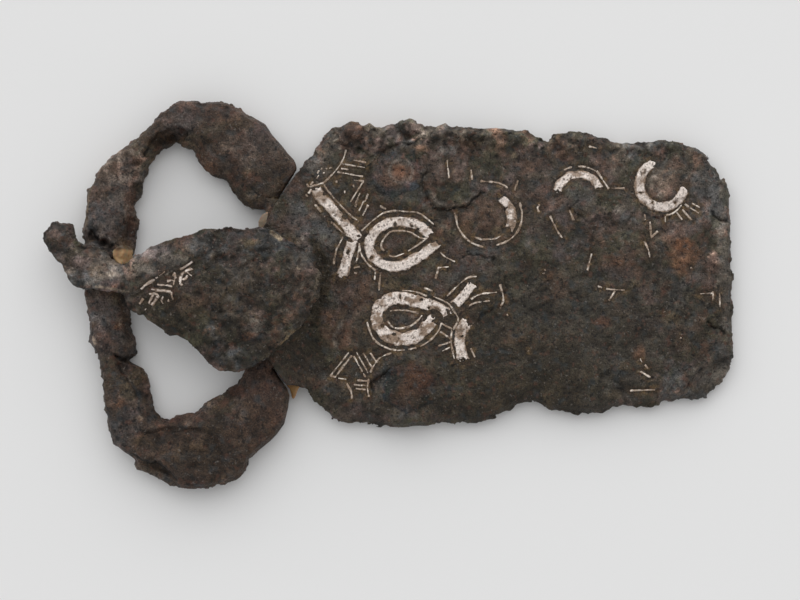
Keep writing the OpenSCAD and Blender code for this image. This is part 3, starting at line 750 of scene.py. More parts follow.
# Short remains of the inlay
FLECKS = [
    [(-14.2, 24.8), (-14.6, 24.2)], [(-13.6, 25.3), (-13.8, 24.9)], [(-13, 24.6), (-13.4, 24.1)],
    [(-12.8, 25.4), (-12.6, 25)], [(-12.2, 25.2), (-11.7, 25.5)], [(-14.2, 24), (-14.7, 23.2)],
    [(-15.4, 22.6), (-15.9, 21.9)], [(-16.6, 22.1), (-16.2, 21.5)], [(-15.7, 21.2), (-16.3, 20.2)],
    [(-16.8, 20), (-16.5, 19.6)], [(-10.8, 22.8), (-10.6, 22.4)], [(-9, 20.8), (-9.1, 20.2)],
    [(-7.4, 21.9), (-7.1, 21.5)], [(31, 5.1), (31.1, 4.8)], [(30.7, 4.4), (30.8, 4.1)],
    [(54.8, -3.3), (54.9, -3.6)], [(58, -8.5), (58.2, -8.8)], [(27.6, -11.1), (27.7, -11.4)],
    [(23.4, -3.8), (23.6, -4.3)], [(50, -12.8), (50.4, -13.5)], [(51, -14), (51.6, -14.8)],
    [(60.2, 5.6), (60.3, 5.2)]]

# Lines on the tongue's neck and their widths
TONGUE_WIRES = [
    ([(-49, 1), (-48.3, 1.7), (-47.4, 2.3), (-46.6, 2.9)], 0.5), ([(-46.7, 3), (-46.3, 2.8)], 0.5),
    ([(-46.1, 3.2), (-45.2, 3.8), (-44.2, 4.6)], 0.24),
    ([(-41.3, 5), (-40.3, 5.5), (-39.4, 6.1), (-38.8, 6.6)], 0.4),
    ([(-47, 1.1), (-45.9, 0.9), (-44.9, 0.8), (-44, 0.7), (-42.9, 0.6)], 0.5),
    ([(-45.8, 2), (-44.7, 1.9), (-43.7, 1.8), (-42.8, 1.6)], 0.42),
    ([(-43.9, 2.7), (-42.9, 2.8), (-42.3, 2.6)], 0.42), ([(-42.8, 3.9), (-42.3, 3.6), (-42.2, 3.2)], 0.5),
    ([(-42.3, 4.5), (-42.4, 3.8)], 0.34), ([(-42.2, 3.6), (-42.4, 2.7), (-42.6, 1.8)], 0.26),
    ([(-41.3, 2.3), (-41.2, 3.2), (-40.8, 4.1), (-40, 4.7), (-39, 5.1)], 0.62),
    ([(-40, 4.6), (-39.5, 4.1), (-38.9, 3.6)], 0.44), ([(-40.8, 2.9), (-40.1, 3.2), (-39.8, 3.8)], 0.46),
    ([(-41.4, 2.3), (-40.8, 1.9)], 0.5), ([(-47.4, 0.1), (-46.5, 0.2), (-45.7, 0)], 0.42),
    ([(-46.4, 0.4), (-47, -0.8), (-47.6, -1.8)], 0.5),
    ([(-45.5, -0.1), (-46.1, -0.9), (-46.7, -1.7), (-47.1, -2.2)], 0.5), ([(-44.6, -0.3), (-45, -1)], 0.5),
    ([(-45.1, -1), (-44.7, -1.8)], 0.24), ([(-43.6, -0.8), (-43.7, -1.4)], 0.34),
    ([(-43, 0.6), (-42.9, -0.2), (-42.7, -1)], 0.24), ([(-48.6, -0.8), (-49.3, -1.8)], 0.36),
    ([(-48.3, -2.8), (-48.1, -3)], 0.42)]


def strips_gap(xy, strips):
    """Distance of each point outside the nearest of several strips, given as line and width."""
    gap = np.full(len(xy), REACH)
    for line, width in strips:
        gap = np.minimum(gap, near(xy, line)[0] - width / 2)
    return gap


# Depth of the fine groove round the silver
GROOVE_DEPTH = 0.08


def groove(gap, middle):
    """Depth of that groove, whose middle is at the given distance from the silver."""
    return GROOVE_DEPTH * (1 - smooth_step(0.1, 0.45, np.abs(gap - middle)))


# The plate

# Rusted lumps and domes on the face: X, Y, half width, half height, height
PLATE_LUMPS = [
    (19.2, 15.7, 4.6, 4.4, 0.55), (37.8, 19.4, 4.2, 4, 0.6), (54.7, 22.1, 3.9, 3.9, 0.55),
    (24, -18, 7.5, 5, 0.3), (-7.6, 32.4, 3.2, 2.6, 0.8), (4.4, 33.6, 2.6, 1.8, 0.7), (0, 31.6, 2.8, 2, 0.5),
    (10.5, 31.6, 3, 1.8, 0.5), (-12, 30, 2.4, 2.2, 0.4), (17.5, 31, 3.6, 2, 0.45), (24, 31, 3, 1.8, 0.4),
    (35.6, 30.6, 4, 2.4, 0.35), (-10.5, -19.5, 3.4, 2.6, 0.4), (-12.5, -4, 3.4, 5, 0.3),
    (43, -18.5, 3.4, 3, 0.3), (28.5, 28, 4, 3, 0.25), (11, -21, 6, 4, 0.5), (4, -24, 7, 3, 0.6),
    (-3, -21.5, 3.4, 3.6, 0.5), (1.6, 29.6, 6, 2.6, 0.6), (6.6, 24, 1.8, 4, 0.4), (-5.6, 26.6, 2, 3, 0.4),
    (-13.4, 4.6, 2.6, 6, -0.5), (47, 14, 3.4, 1.6, -0.3), (34, -1, 5, 3, 0.3), (50, -6, 6, 3, 0.25),
    (30, 8, 4, 2.4, 0.25), (44, -12, 4, 2.4, -0.25), (38, 12, 2.4, 2, -0.35), (58, -6, 3.4, 2.4, -0.3),
    (57, 9, 5, 4, 0.3), (26, 2, 3, 2.4, -0.25)]

# The crust that buries the rims of the two rivet heads: X, Y, inner and outer radius, height
RIVET_CRUSTS = [(1.2, 24.2, 5.6, 8, 0.5), (4, -19.3, 6.3, 8.8, 0.5)]

# Lower edge of the lump beside the middle ring
LUMP_EDGE = curve([(8.4, 17), (12, 17.4), (15, 18), (17, 19.4), (18.8, 20.6)])

# Cracks and crevices: line, half width, depth
PLATE_CRACKS = [
    (LUMP_EDGE, 0.17, 0.45), (curve([(6.8, 25.4), (6.6, 22.6), (7.2, 19.8), (8.6, 17.4)]), 0.25, 0.25),
    (curve([(14.2, 7.4), (15.5, 7.9), (17.4, 8), (19, 7.9), (20.6, 7.2)]), 0.22, 0.3),
    (curve([(-4, -20), (-3.4, -18), (-2, -16.6), (0, -15.6), (2.4, -15.2), (5.2, -15.5)]), 0.35, 0.6),
    (curve([(64.2, 16.6), (65.6, 15.4), (67, 14.6)]), 0.4, 0.55),
    (curve([(63.8, -5.3), (65.4, -6.6), (66.6, -8.1)]), 0.25, 0.5),
    (curve([(40.6, 13.6), (39.9, 10.6), (40.3, 7.4), (39.2, 4), (40.4, 1), (43.2, 0.8)]), 0.2, 0.15),
    (curve([(22.6, 3.4), (23.2, 0.6), (22.6, -2.2), (19.4, -3.6), (17.4, -5.2)]), 0.2, 0.3),
    (curve([(-10, 30.4), (-7.6, 29.6), (-5.6, 28.6), (-3.6, 27.6), (-1, 29), (3, 30.4), (7, 31)]), 0.24,
        0.25),
    (curve([(49.4, 19), (50.2, 17.2), (52.2, 15.8), (56, 15.2)]), 0.22, 0.25),
    (curve([(36, 17), (37.6, 15.6), (40.4, 14.8), (42, 15.6)]), 0.3, 0.3)]

# Steps between layers: outline, height, width of the edge
PLATE_STEPS = [
    ([(-11.5, 36), (-10.6, 30.7), (-7.8, 29.6), (-5.6, 28.6), (-3.6, 28.8), (-1, 29.4), (3, 30.6),
        (7, 31.4), (13, 30.4), (19, 31.4), (25, 32.6), (25, 36)], 0.6, 0.5),
    ([(7.2, 26), (6.8, 22), (7.6, 18.4), (9.2, 17), (12, 17.4), (15, 18), (17.2, 19.4), (18.8, 20.6),
        (18, 25), (16, 27.6), (12, 28.4), (9, 28)], 0.4, 0.8),
    ([(8.2, 22.4), (8.4, 20), (10, 18.2), (13, 18.2), (16.4, 19.8), (17.4, 21.4), (13, 22.4)], -0.2, 0.5),
    ([(70, -11.4), (65.4, -13.5), (62.4, -14.9), (60, -16.7), (58.2, -21.4), (60, -24), (70, -24)], -0.9,
        0.5),
    ([(40, 14.6), (39.7, 7), (41.6, 3), (47, 2.4), (51, 5), (50.6, 12), (46, 15.6)], -0.25, 0.6),
    ([(62.4, 21), (63.4, 10), (64.6, 4), (66.4, -2), (65.6, -10), (70, -11), (70, 24)], -0.35, 1.2),
    ([(45, -17), (46.5, -20.5), (46, -26), (57, -24.5), (56, -19.6), (50, -18.6)], -0.35, 0.6)]

# Stains, and a few patches of painted shadow: X, Y, half width, half height, colour, strength
PLATE_STAINS_AND_PAINTED_SHADOWS = [
    (26, -14, 28, 15, SLATE, 0.75), (34, 0, 18, 9, SLATE, 0.6), (54, -5, 14, 9, SLATE, 0.5),
    (-7.5, -1, 5.5, 6.5, RED_BROWN, 0.5), (-9, -8, 3, 2.4, RED_BROWN, 0.6), (-13, -5, 2.4, 2, ORANGE, 0.5),
    # The dark patches at (-12.9, 4.4) and (-14.6, -3), beside the shield's rear, are painted shadow of the
    # shield.
    (-15.8, -7, 2.6, 4.6, GREENISH, 0.85), (-12.9, 4.4, 1.6, 5.4, DARK, 0.85),
    (-14.6, -3, 1.6, 4, DARK, 0.7), (5, -14.8, 4.4, 2.4, ORANGE, 0.5), (13.2, -13, 3, 2.6, OCHRE, 0.7),
    (24, -8.8, 3.4, 2.2, RED_BROWN, 0.6), (0, 2.2, 3.2, 2, OCHRE, 0.5), (33.8, 1, 3.4, 4.2, RED_BROWN, 0.5),
    (42.6, -5.6, 2, 1.6, seen(96, 58, 50), 0.8), (45.6, 6.5, 1.8, 1, ORANGE, 0.8),
    (49.8, -11.6, 1.5, 1.7, ORANGE, 0.7), (47, -14.4, 3, 1.4, OCHRE, 0.5), (56.2, -5, 3, 1.6, OCHRE, 0.6),
    (30.2, -8.4, 1.8, 1.2, RED_BROWN, 0.8), (31.8, 4.4, 1.4, 1.2, ORANGE, 0.6),
    (45.2, -20, 2, 1.6, OCHRE, 0.5), (64.5, -15.8, 5, 4.4, PALE, 0.7), (53, -1, 2.4, 1.6, PINKISH, 0.7),
    (58, 8.4, 4.6, 5, seen(104, 68, 48), 0.7), (58.4, 10, 3.6, 1.8, seen(116, 68, 38), 0.8),
    (64.8, 6.6, 1.8, 3.2, seen(120, 92, 84), 0.6), (64.6, 8.2, 0.7, 0.6, ROSY, 0.9),
    (65.2, 6.6, 0.6, 0.8, ROSY, 0.9), (64.2, 5.4, 0.8, 0.5, ROSY, 0.8), (63.6, 7.6, 0.4, 0.4, ROSY, 0.8),
    (33.5, 29, 3.8, 3, RED_BROWN, 0.7), (38.4, 29.4, 3.4, 2.2, OCHRE, 0.4),
    (53.2, 28.2, 2, 1.2, RED_BROWN, 0.8), (57.4, 26, 2.4, 1.8, RED_BROWN, 0.5),
    (44, 6, 3.4, 2.6, RED_BROWN, 0.4), (49.6, 2.4, 2, 1.6, OCHRE, 0.6), (19, 15.7, 4, 4, RED_BROWN, 0.6),
    (21.6, 12.4, 2.4, 1.4, OCHRE, 0.9), (22, 11.4, 1.6, 0.8, ORANGE, 0.6), (15.4, 13, 2, 2, ORANGE, 0.5),
    (9.6, 12, 1.6, 1.6, ORANGE, 0.6), (37.8, 19, 3.6, 3.4, BLUE_GREY, 0.5),
    (54.7, 22.1, 3.4, 3.4, seen(78, 64, 56), 0.7), (12.4, 20, 4.6, 2.2, GREENISH, 0.7),
    (11, 25, 4, 3.4, PINKISH, 0.4), (24.8, 27.8, 0.9, 0.8, seen(140, 124, 100), 0.8),
    (66.8, 0, 1.8, 22, PALE, 0.4), (28, -18.4, 9, 4.6, GREENISH, 0.65), (14, -19, 7, 5, GREENISH, 0.5),
    # The dark strip at (-8.6, 30.4) is painted shadow under the step of the crust along the upper rim.
    (24, 4, 6, 5, GREENISH, 0.4), (-7.6, 32.2, 2.8, 2.2, RED_BROWN, 0.8), (-8.6, 30.4, 3.4, 0.9, DARK, 0.6),
    (4.4, 33.4, 2.6, 1.8, PINKISH, 0.6), (1.2, 24.6, 4.6, 3.6, RUSTY, 0.75),
    (2, 24.8, 1.8, 1.5, seen(112, 74, 54), 0.7), (-0.4, 25, 1, 1.2, DARK, 0.5),
    (1, 19.8, 5, 2, BLUE_GREY, 0.35), (5.2, -17.6, 4.6, 3.8, seen(96, 68, 52), 0.75),
    (-1.6, -17.4, 2.4, 1.6, BLUE_GREY, 0.4), (3.6, -20.6, 4.6, 3.2, RUSTY, 0.5),
    (7.6, -17, 2, 1.6, ORANGE, 0.5), (-9.6, 26, 4, 3, GREENISH, 0.5), (6, 29.4, 2.4, 0.9, ORANGE, 0.6),
    (60.6, 0.4, 3.4, 2.4, GREENISH, 0.5), (-14, 25.4, 3, 2, PALE, 0.4), (-13.4, 14.6, 4, 4, BLUE_GREY, 0.6),
    (-20.6, 10.4, 3, 2.4, OCHRE, 0.6), (-17.2, 11.4, 0.8, 0.8, PALE, 0.7), (-11, 7.4, 4, 4, BLUE_GREY, 0.3),
    (23.2, -1, 0.8, 1.2, ORANGE, 0.6), (14.2, 4.4, 5, 3.6, BLUE_GREY, 0.6), (-8, -23, 5, 3, PINKISH, 0.5)]

# Paler and darker areas of the plate: X, Y, half width, half height, factor
PLATE_SHADES = [
    (22, 24, 52, 22, 1.8), (56, 18, 18, 14, 3), (-11, 28, 10, 9, 3.2), (-12, 14, 11, 12, 2.6),
    # The darkening at (-18, -12.5), below the shield's rear, is painted shadow of the shield.
    (26, -17, 26, 15, 0.36), (54, -22, 14, 7, 1.8), (-1, -5, 9, 5.5, 2.4), (-18, -12.5, 6, 7, 0.22),
    (12, -3, 5, 5, 1.9), (30, 27, 8, 5, 0.8), (50, 4, 14, 6, 1.35), (14, 24, 6, 7, 1.9),
    (4, 33, 16, 5, 2.2), (38, 20, 8, 6, 1.5), (48, 27, 12, 5, 1.6), (67, 14, 5, 14, 1.9),
    (46, -5, 6, 5, 0.7), (-19, 12, 4, 5, 1.3), (8, 3, 9, 5, 1.5), (26, -20, 14, 7, 0.34),
    (52, -14, 14, 8, 1.25)]

# Thin streaks on the plate, some of them painted shadow and shade: line, half width, colour, strength
PLATE_STROKES = [
    ([(-1.4, 3.8), (-1.4, 0.6)], 0.35, OCHRE, 0.7), ([(-0.4, 3.6), (-0.6, 0.4)], 0.3, DARK, 0.6),
    ([(0.4, 3.8), (0.2, 0.6)], 0.35, OCHRE, 0.7), ([(1.2, 3.6), (1, 0.8)], 0.3, DARK, 0.6),
    # The dark line along the lump's lower edge is painted shadow below the lump, over its crack.
    (LUMP_EDGE, 0.3, DARK, 0.7),
    # The broad near-black line along the shield's rear edge is painted shadow of the shield, partly also the
    # dark patina there.
    (curve([(-15.6, 11), (-14.4, 9), (-13.2, 6.2), (-13, 3.4), (-13.6, 0.6), (-14.6, -2.2), (-16, -4.8),
        (-17.6, -7.4), (-19.2, -9.2)]), 1.3, seen(26, 24, 20, 0.004), 0.95),
    (arc((2.2, 24.6), 2.3, 0, 360), 0.4, PALE, 0.35), (arc((-0.6, 25.2), 1.5, 60, 300), 0.35, DARK, 0.5),
    # The dark arc round the upper side of the upper rivet head, and the dark line along the crack over the
    # lower head, are painted shade in those crevices.
    (arc((1.2, 24.2), 5, 20, 230), 0.5, DARK, 0.4), (arc((4, -19.3), 6.4, 60, 200), 0.5, SLATE, 0.6),
    (curve([(-4, -20), (-3.4, -18), (-2, -16.6), (0, -15.6), (2.4, -15.2)]), 0.7, DARK, 0.6),
    (curve([(8.6, 20.4), (9.2, 18.8), (11, 18)]), 0.5, PALE, 0.5),
    (curve([(-7.6, 1), (-10, -2.4), (-11.6, -6)]), 0.5, PINKISH, 0.6),
    (curve([(-9.6, -5.6), (-11.2, -8.4), (-10.6, -10.4)]), 0.5, PALE, 0.5),
    (curve([(21.6, 11.4), (24, 12.6), (25.4, 14.4)]), 0.4, OCHRE, 0.7)]


# Y where the crust along the upper rim starts and is full, in the middle of the plate
CRUST_START = (27.5, 32.5)

# Noise of the plate's relief: size, octaves, seed and fade
PLATE_SWELL = (9, 2, 11)
PLATE_PATCHES = (7, 2, 39)
PLATE_GRAIN = (2.6, 4, 31, COARSE_FADE)
PLATE_FINE = (0.9, 2, 37)

# Depth of the grain and the fine grain: everywhere, clear of silver, and on the crust
GRAIN_DEPTH = (0.04, 0.10, 0.10)
FINE_DEPTH = (0.03, 0.04, 0.15)

# Size and seed of the pits, of the crust's knobs and of the crevices
PLATE_PITS = (2.0, 41)
CRUST_KNOBS = (1.8, 57)
PLATE_CREVICES = (4.0, 51)


def crust(xy):
    """1 on the crust along the upper rim and 0 below it."""
    return smooth_step(*CRUST_START, xy[:, 1] + 0.04 * np.abs(xy[:, 0] - 5) + 0.8 * rough(xy, 4, 2, 33))


def layered(depths, clear, crusty):
    """One depth from those everywhere, clear of silver, and on the crust."""
    return depths[0] + depths[1] * clear + depths[2] * crusty


def plate_fields(xy):
    """Height above the CAD's face, the fine part of it, and the distance outside the silver."""
    height = lumps(0.10 * rough(xy, *PLATE_SWELL), xy, PLATE_LUMPS, 0.3, 17)
    ragged = wandering(xy, 0.5, 1.6, 23)
    height = steps(height, ragged, PLATE_STEPS)
    crusty = crust(xy)
    bands = [(line, width) for line, width, wear in BANDS.values()]
    gap = strips_gap(xy, bands + [(line, WIRE) for line in PLATE_WIRES + FLECKS])
    clear = smooth_step(-0.2, 1.2, gap)
    patchy = smooth_step(-0.4, 0.6, rough(xy, *PLATE_PATCHES))
    for x, y, inner, outer, rise in RIVET_CRUSTS:
        away = np.hypot(xy[:, 0] - x, xy[:, 1] - y) + 0.5 * rough(xy, 2.0, 3, 47)
        height += rise * (1 - smooth_step(inner, outer, away))
    fine = layered(GRAIN_DEPTH, clear, crusty) * rough(xy, *PLATE_GRAIN)
    fine += layered(FINE_DEPTH, clear, crusty) * rough(xy, *PLATE_FINE)
    fine -= (0.10 * patchy + 0.12 * crusty) * clear * pits(xy, *PLATE_PITS)
    fine += 0.25 * crusty * pits(xy, *CRUST_KNOBS)
    fine -= (0.12 * patchy + 0.10 * crusty) * clear * crevices(xy, *PLATE_CREVICES)
    fine = cracks(fine, ragged, PLATE_CRACKS) - groove(gap, 0.15)
    return np.stack([height + fine, fine, gap], 1)


# Distance from the hinge's axis, and height over the back, where relief starts and is full
HINGE_KEEP = (3.3, 5.0)
BACK_KEEP = (0.25, 0.9)


def hinge_keep(at):
    """0 on the lugs, the bore and the slot, which stay as the CAD has them, and 1 away from them."""
    return smooth_step(*HINGE_KEEP, np.hypot(at[:, 0] - HINGE[0], at[:, 2] - HINGE[1]))


def back_keep(at):
    """0 on the flat back and 1 above it."""
    return smooth_step(*BACK_KEEP, at[:, 2])


def iron_keep(at):
    """0 round the hinge and on the back, and 1 away from both."""
    return hinge_keep(at) * back_keep(at)


def rim_crumble(seed, size, depth):
    """Small chips and grains of a broken rim."""
    return lambda at: depth * (rough(at, size, 3, seed, GRITTY_FADE) - 0.2)


# Distance from the silver where the brown beside it starts to fade and is gone, and the greatest
# shares of that brown and of the golden grains in it
BESIDE = (0.15, 1.3)
GROOVE_SHARE = 0.68
GOLDEN_SHARE = 0.6


def beside_silver(tone, xy, gap):
    """Dark brown beside the inlay, with some golden brown grains."""
    beside = 1 - smooth_step(*BESIDE, gap + 0.2 * rough(xy, 1.2, 2, 520))
    tone = mix(tone, GROOVE, GROOVE_SHARE * beside)
    return mix(tone, GOLDEN, GOLDEN_SHARE * beside * smooth_step(0.25, 0.7, rough(xy, 0.9, 3, 530)))


def plate_paint(at, normal):
    """Brown iron with painted shade in the hollows, a broken tone on the crust and brown beside the silver.
    """
    xy = at[:, :2]
    fields = plate_raster(xy)
    tone = iron_tone(at, GREY_BROWN, 100, PLATE_STAINS_AND_PAINTED_SHADOWS, PLATE_STROKES, PLATE_SHADES)
    tone = sides(tone, normal, 0.3, 0.8, OCHRE, 0.3)
    tone = hollows(tone, fields[:, 1], 3.0, -0.4)
    tone = tone * np.exp(0.7 * crust(xy) * rough(xy, 2.2, 3, 540, GRITTY_FADE))[:, None]
    return beside_silver(tone, xy, fields[:, 2])


# Grid cells of the iron pieces
COARSE_CELL = 0.25
FINE_CELL = 0.2

# Where the plate's relief is worked out: lowest corner, highest corner and step
PLATE_AREA = ((-27, -27), (70, 36), 0.125)

# Crumbling of its rim: seed, size and depth
PLATE_RIM = (61, 1.5, 0.5)

plate_solid = Solid("plate", COARSE_CELL)
plate_raster = sampled(*PLATE_AREA, plate_fields)
plate_solid.weather(lambda xy: plate_raster(xy)[:, 0], rim_crumble(*PLATE_RIM), iron_keep)
plate_top = plate_solid.top()
plate_solid.piece("plate_iron", "plate", "plate", IRON, plate_paint)


# The rivets' heads

# Craters of the two heads: X, Y, half width, half height, depth
UPPER_CRATERS = [(0.8, 25, 1.8, 1.6, 0.7), (2.6, 26.6, 1.2, 1, 0.3)]
LOWER_CRATERS = [(5.6, -15.6, 1.4, 0.8, 0.3), (1.4, -20.8, 1.4, 1.2, 0.3)]


def head_relief(craters, seed):
    """Relief of a head: broken crust, pits, crevices, and craters with a faint swelling round them."""
    def relief(xy):
        height = 0.25 * rough(xy, 3.4, 4, seed, COARSE_FADE) - 0.15 * pits(xy, 2.4, seed + 9)
        height -= 0.12 * crevices(xy, 3.4, seed + 5)
        for x, y, across, up, depth in craters:
            height -= depth * blob(xy, x, y, across, up, 0.2, seed)
            height += 0.3 * depth * blob(xy, x, y, 1.8 * across, 1.8 * up, 0.2, seed)
        return height
    return relief


def rivet_paint(at, normal):
    """The plate's tone, which runs on over the rivets' heads."""
    return iron_tone(at, GREY_BROWN, 100, PLATE_STAINS_AND_PAINTED_SHADOWS, PLATE_STROKES, PLATE_SHADES)


for node, craters, seed in (("rivet_upper", UPPER_CRATERS, 210), ("rivet_lower", LOWER_CRATERS, 240)):
    head = Solid(node, FINE_CELL, 1.2)
    head.weather(head_relief(craters, seed), lambda at: np.zeros(len(at)), back_keep)
    head.piece(node + "_head", node, "plate", IRON, rivet_paint)


# The loop

# Edge of the arm's lower break
BREAK_EDGE = curve([(-54, -14.4), (-52.2, -17), (-50.4, -19.4), (-48.8, -20.8)])

# Tables with the same columns as the plate's
LOOP_LUMPS = [
    (-36, 33, 5, 3.6, 0.4), (-52, 27, 4.5, 4, 0.3), (-55.6, 14, 3.8, 6, 0.3), (-56, -10, 3.4, 5, 0.35),
    (-52.6, -20, 3.8, 5, 0.3), (-41, -32.6, 6, 3.6, 0.3), (-28, -25, 5, 5, 0.35), (-26, 24, 4, 4, 0.3)]
LOOP_CRACKS = [
    (curve([(-54.6, -12.4), (-53.4, -13.1), (-51.4, -12.9)]), 0.35, 0.9), (BREAK_EDGE, 0.28, 0.5),
    (curve([(-49, -27.4), (-46, -27.2), (-42, -26.6), (-38, -26.6)]), 0.5, 0.2),
    (curve([(-51.4, -32.2), (-48, -33.2), (-45, -34.8), (-42.6, -36.6)]), 0.3, 0.6),
    (curve([(-59.6, 12.4), (-58.6, 10.8), (-57.4, 10.2)]), 0.5, 0.9),
    (curve([(-57.4, 10.4), (-56.4, 10), (-55.8, 9.8)]), 0.4, 0.6)]
LOOP_STEPS = [
    ([(-54, -14.2), (-51, -13.6), (-48.2, -14.8), (-48, -20.4), (-49.8, -19.8), (-52.6, -16.2)], -0.6, 0.5),
    ([(-50.2, -27.6), (-46, -27.2), (-38, -26.4), (-34, -29), (-34, -32), (-46, -31.4)], -0.5, 0.7),
    ([(-52.4, -32.4), (-47, -33.6), (-43, -36.6), (-43, -41), (-54, -38)], -1.2, 0.6),
    ([(-50.6, 22.4), (-51.8, 19), (-52.8, 15.4), (-53.2, 11), (-52.4, 4), (-46, 4), (-46, 26)], -1.1, 1)]
LOOP_TONE = seen(84, 77, 72)
LOOP_STAINS_AND_PAINTED_SHADE = [
    (-54.2, -6.4, 0.9, 0.9, ORANGE, 0.9), (-53.9, -6, 0.45, 0.5, CREAM, 0.8),
    (-53.6, -21.4, 1.6, 1.4, ORANGE, 0.85), (-50.6, -16.2, 1.8, 2.6, GREENISH, 0.85),
    (-52.2, -13, 2.4, 1, DARK, 0.6), (-48.2, -29.4, 3.4, 2, GREENISH, 0.9), (-34, -27, 3.6, 3, DARK, 0.55),
    (-27.2, -22, 2.4, 2.2, seen(40, 46, 42), 0.9), (-35.4, -26.2, 3.6, 2.6, GREENISH, 0.8),
    (-41.6, -24.4, 5, 1.6, RED_BROWN, 0.6), (-36.2, 25.6, 3, 1.8, ORANGE, 0.6),
    (-29, 18.4, 2.4, 1, DARK, 0.6), (-42, 33.6, 4, 3, BLUE_GREY, 0.6), (-56, 16, 3, 6, BLUE_GREY, 0.5),
    (-34, 35.6, 6, 2.6, RED_BROWN, 0.5), (-38, -32, 9, 4.6, GREENISH, 0.7),
    (-25, -22, 7, 8, RED_BROWN, 0.5), (-42, -37, 6, 2, PINKISH, 0.5), (-26, -30, 4, 4, RED_BROWN, 0.5),
    (-28, 30, 5, 3, BLUE_GREY, 0.5), (-45, 31.2, 4.4, 2, DARK, 0.9), (-44.6, -36.6, 5, 1.6, PALE, 0.5),
    (-57.4, -2, 2.4, 4, BLUE_GREY, 0.5), (-22.8, -14.6, 3, 3.4, RED_BROWN, 0.5),
    # The near-black patch at (-21.4, 22.6), where the upper arm's end meets the plate, is painted shade.
    (-21.4, 22.6, 2.6, 5, seen(34, 32, 26), 0.85), (-22.6, 19, 2, 1.6, GREENISH, 0.8),
    (-30, -19.6, 2.4, 1.8, seen(106, 66, 56), 0.7), (-24.4, -18.4, 2.4, 1.8, seen(100, 64, 56), 0.6),
    (-23.6, -24.4, 2.8, 2.4, seen(98, 64, 54), 0.6), (-33.6, -21.6, 2, 1.4, seen(104, 72, 60), 0.6),
    (-43.6, -25, 2.4, 0.8, seen(96, 50, 46), 0.8), (-53.2, 10.6, 1.8, 1.8, seen(96, 82, 68), 0.85),
    (-49.9, -19.6, 0.4, 0.4, CREAM, 0.9), (-48.7, -22, 0.4, 0.3, CREAM, 0.9),
    (-49.8, -24.6, 0.8, 0.5, CREAM, 0.8), (-47.4, -26.2, 0.5, 0.4, CREAM, 0.8),
    (-33.6, -20.6, 0.4, 0.6, CREAM, 0.7), (-36.2, -22, 0.4, 0.5, CREAM, 0.6),
    (-55.6, -10, 2.6, 3, PINKISH, 0.6), (-53.4, -8.8, 1.2, 1.6, PALE, 0.6),
    (-52, 20, 1.2, 5, RED_BROWN, 0.7), (-51.8, 14, 1, 4, RED_BROWN, 0.8),
    (-32.4, 24.6, 1.6, 1.2, OCHRE, 0.6), (-59.4, 11.2, 1.4, 1.2, DARK, 0.8)]
LOOP_SHADES = [
    (-57, 20, 8, 16, 2.3), (-57, -2, 5, 8, 1.7), (-51, 20, 4, 11, 2), (-54, 27, 9, 9, 1.9),
    (-58, -9, 4, 8, 2.4), (-38, -31, 20, 10, 0.4), (-26, -24, 9, 9, 0.75), (-26, 19, 7, 6, 1.7),
    (-40, 33, 9, 5, 1.3), (-41, -25, 8, 2, 1.6), (-47, 29, 6, 5, 1.3)]
LOOP_STROKES = [
    # The ochre line along the loop's left rim is partly its colour and partly a painted highlight on the rim.
    (curve([(-59.2, 22.4), (-60, 20), (-60.4, 17), (-60.6, 14)]), 0.5, OCHRE, 0.8),
    ([(-59.1, -8.5), (-58.8, -9.8)], 0.35, CREAM, 0.8),
    (curve([(-53.9, -1.6), (-53.2, -3.4), (-52.9, -5.5), (-52.6, -7.5)]), 0.5, DARK, 0.8),
    (BREAK_EDGE, 0.35, DARK, 0.8), (curve([(-53.4, -14.8), (-51.4, -17.6), (-49.6, -20)]), 0.3, PALE, 0.6),
    (curve([(-49, -27.8), (-46, -27.6), (-42, -27), (-38, -27)]), 0.9, DARK, 0.5),
    (curve([(-51.4, -32), (-48, -33.4), (-45, -35.2), (-43, -36.8)]), 0.4, DARK, 0.8),
    (curve([(-51.2, -34), (-47.4, -36), (-42, -38.6)]), 0.6, PALE, 0.6)]


# Beads that hollow out the inner edge, and one notch: X, Y, Z, radius
LOOP_CAVITY = [
    (-48.2, 28.4, 4.4, 1.2), (-46.8, 29.9, 4.2, 1.4), (-45.2, 31, 4, 1.7), (-43.4, 31.8, 3.8, 2),
    (-41.8, 32, 4.2, 1.6), (-50.2, 26.2, 4.8, 0.9), (-59.4, 11.4, 5, 1)]

# Noise of the loop's relief: size, octaves, seed and fade
LOOP_SWELL = (7, 2, 311)
LOOP_PATCHES = (6, 2, 339)
LOOP_GRAIN = (2.6, 4, 331, COARSE_FADE)
LOOP_FINE = (0.9, 2, 337)


def loop_fields(xy):
    """Height above the CAD's crown and the fine part of it."""
    height = lumps(0.2 * rough(xy, *LOOP_SWELL), xy, LOOP_LUMPS, 0.2, 317)
    ragged = wandering(xy, 0.5, 1.6, 323)
    height = steps(height, ragged, LOOP_STEPS)
    patchy = smooth_step(-0.4, 0.6, rough(xy, *LOOP_PATCHES))
    fine = 0.16 * rough(xy, *LOOP_GRAIN) + 0.06 * rough(xy, *LOOP_FINE)
    fine -= 0.18 * patchy * pits(xy, 2.4, 341) + 0.12 * patchy * crevices(xy, 4.4, 347)
    fine = cracks(fine, ragged, LOOP_CRACKS)
    return np.stack([height + fine, fine], 1)


def loop_paint(at, normal):
    """Paler and more broken iron, with rusty sides and painted shade in the hollows."""
    xy = at[:, :2]
    fine = loop_raster(xy)[:, 1]
    tone = iron_tone(at, LOOP_TONE, 360, LOOP_STAINS_AND_PAINTED_SHADE, LOOP_STROKES, LOOP_SHADES, 2.1)
    tone = sides(tone, normal, 0.4, 0.85, seen(84, 66, 52), 0.5)
    return hollows(tone, fine, 2.6, -0.5)


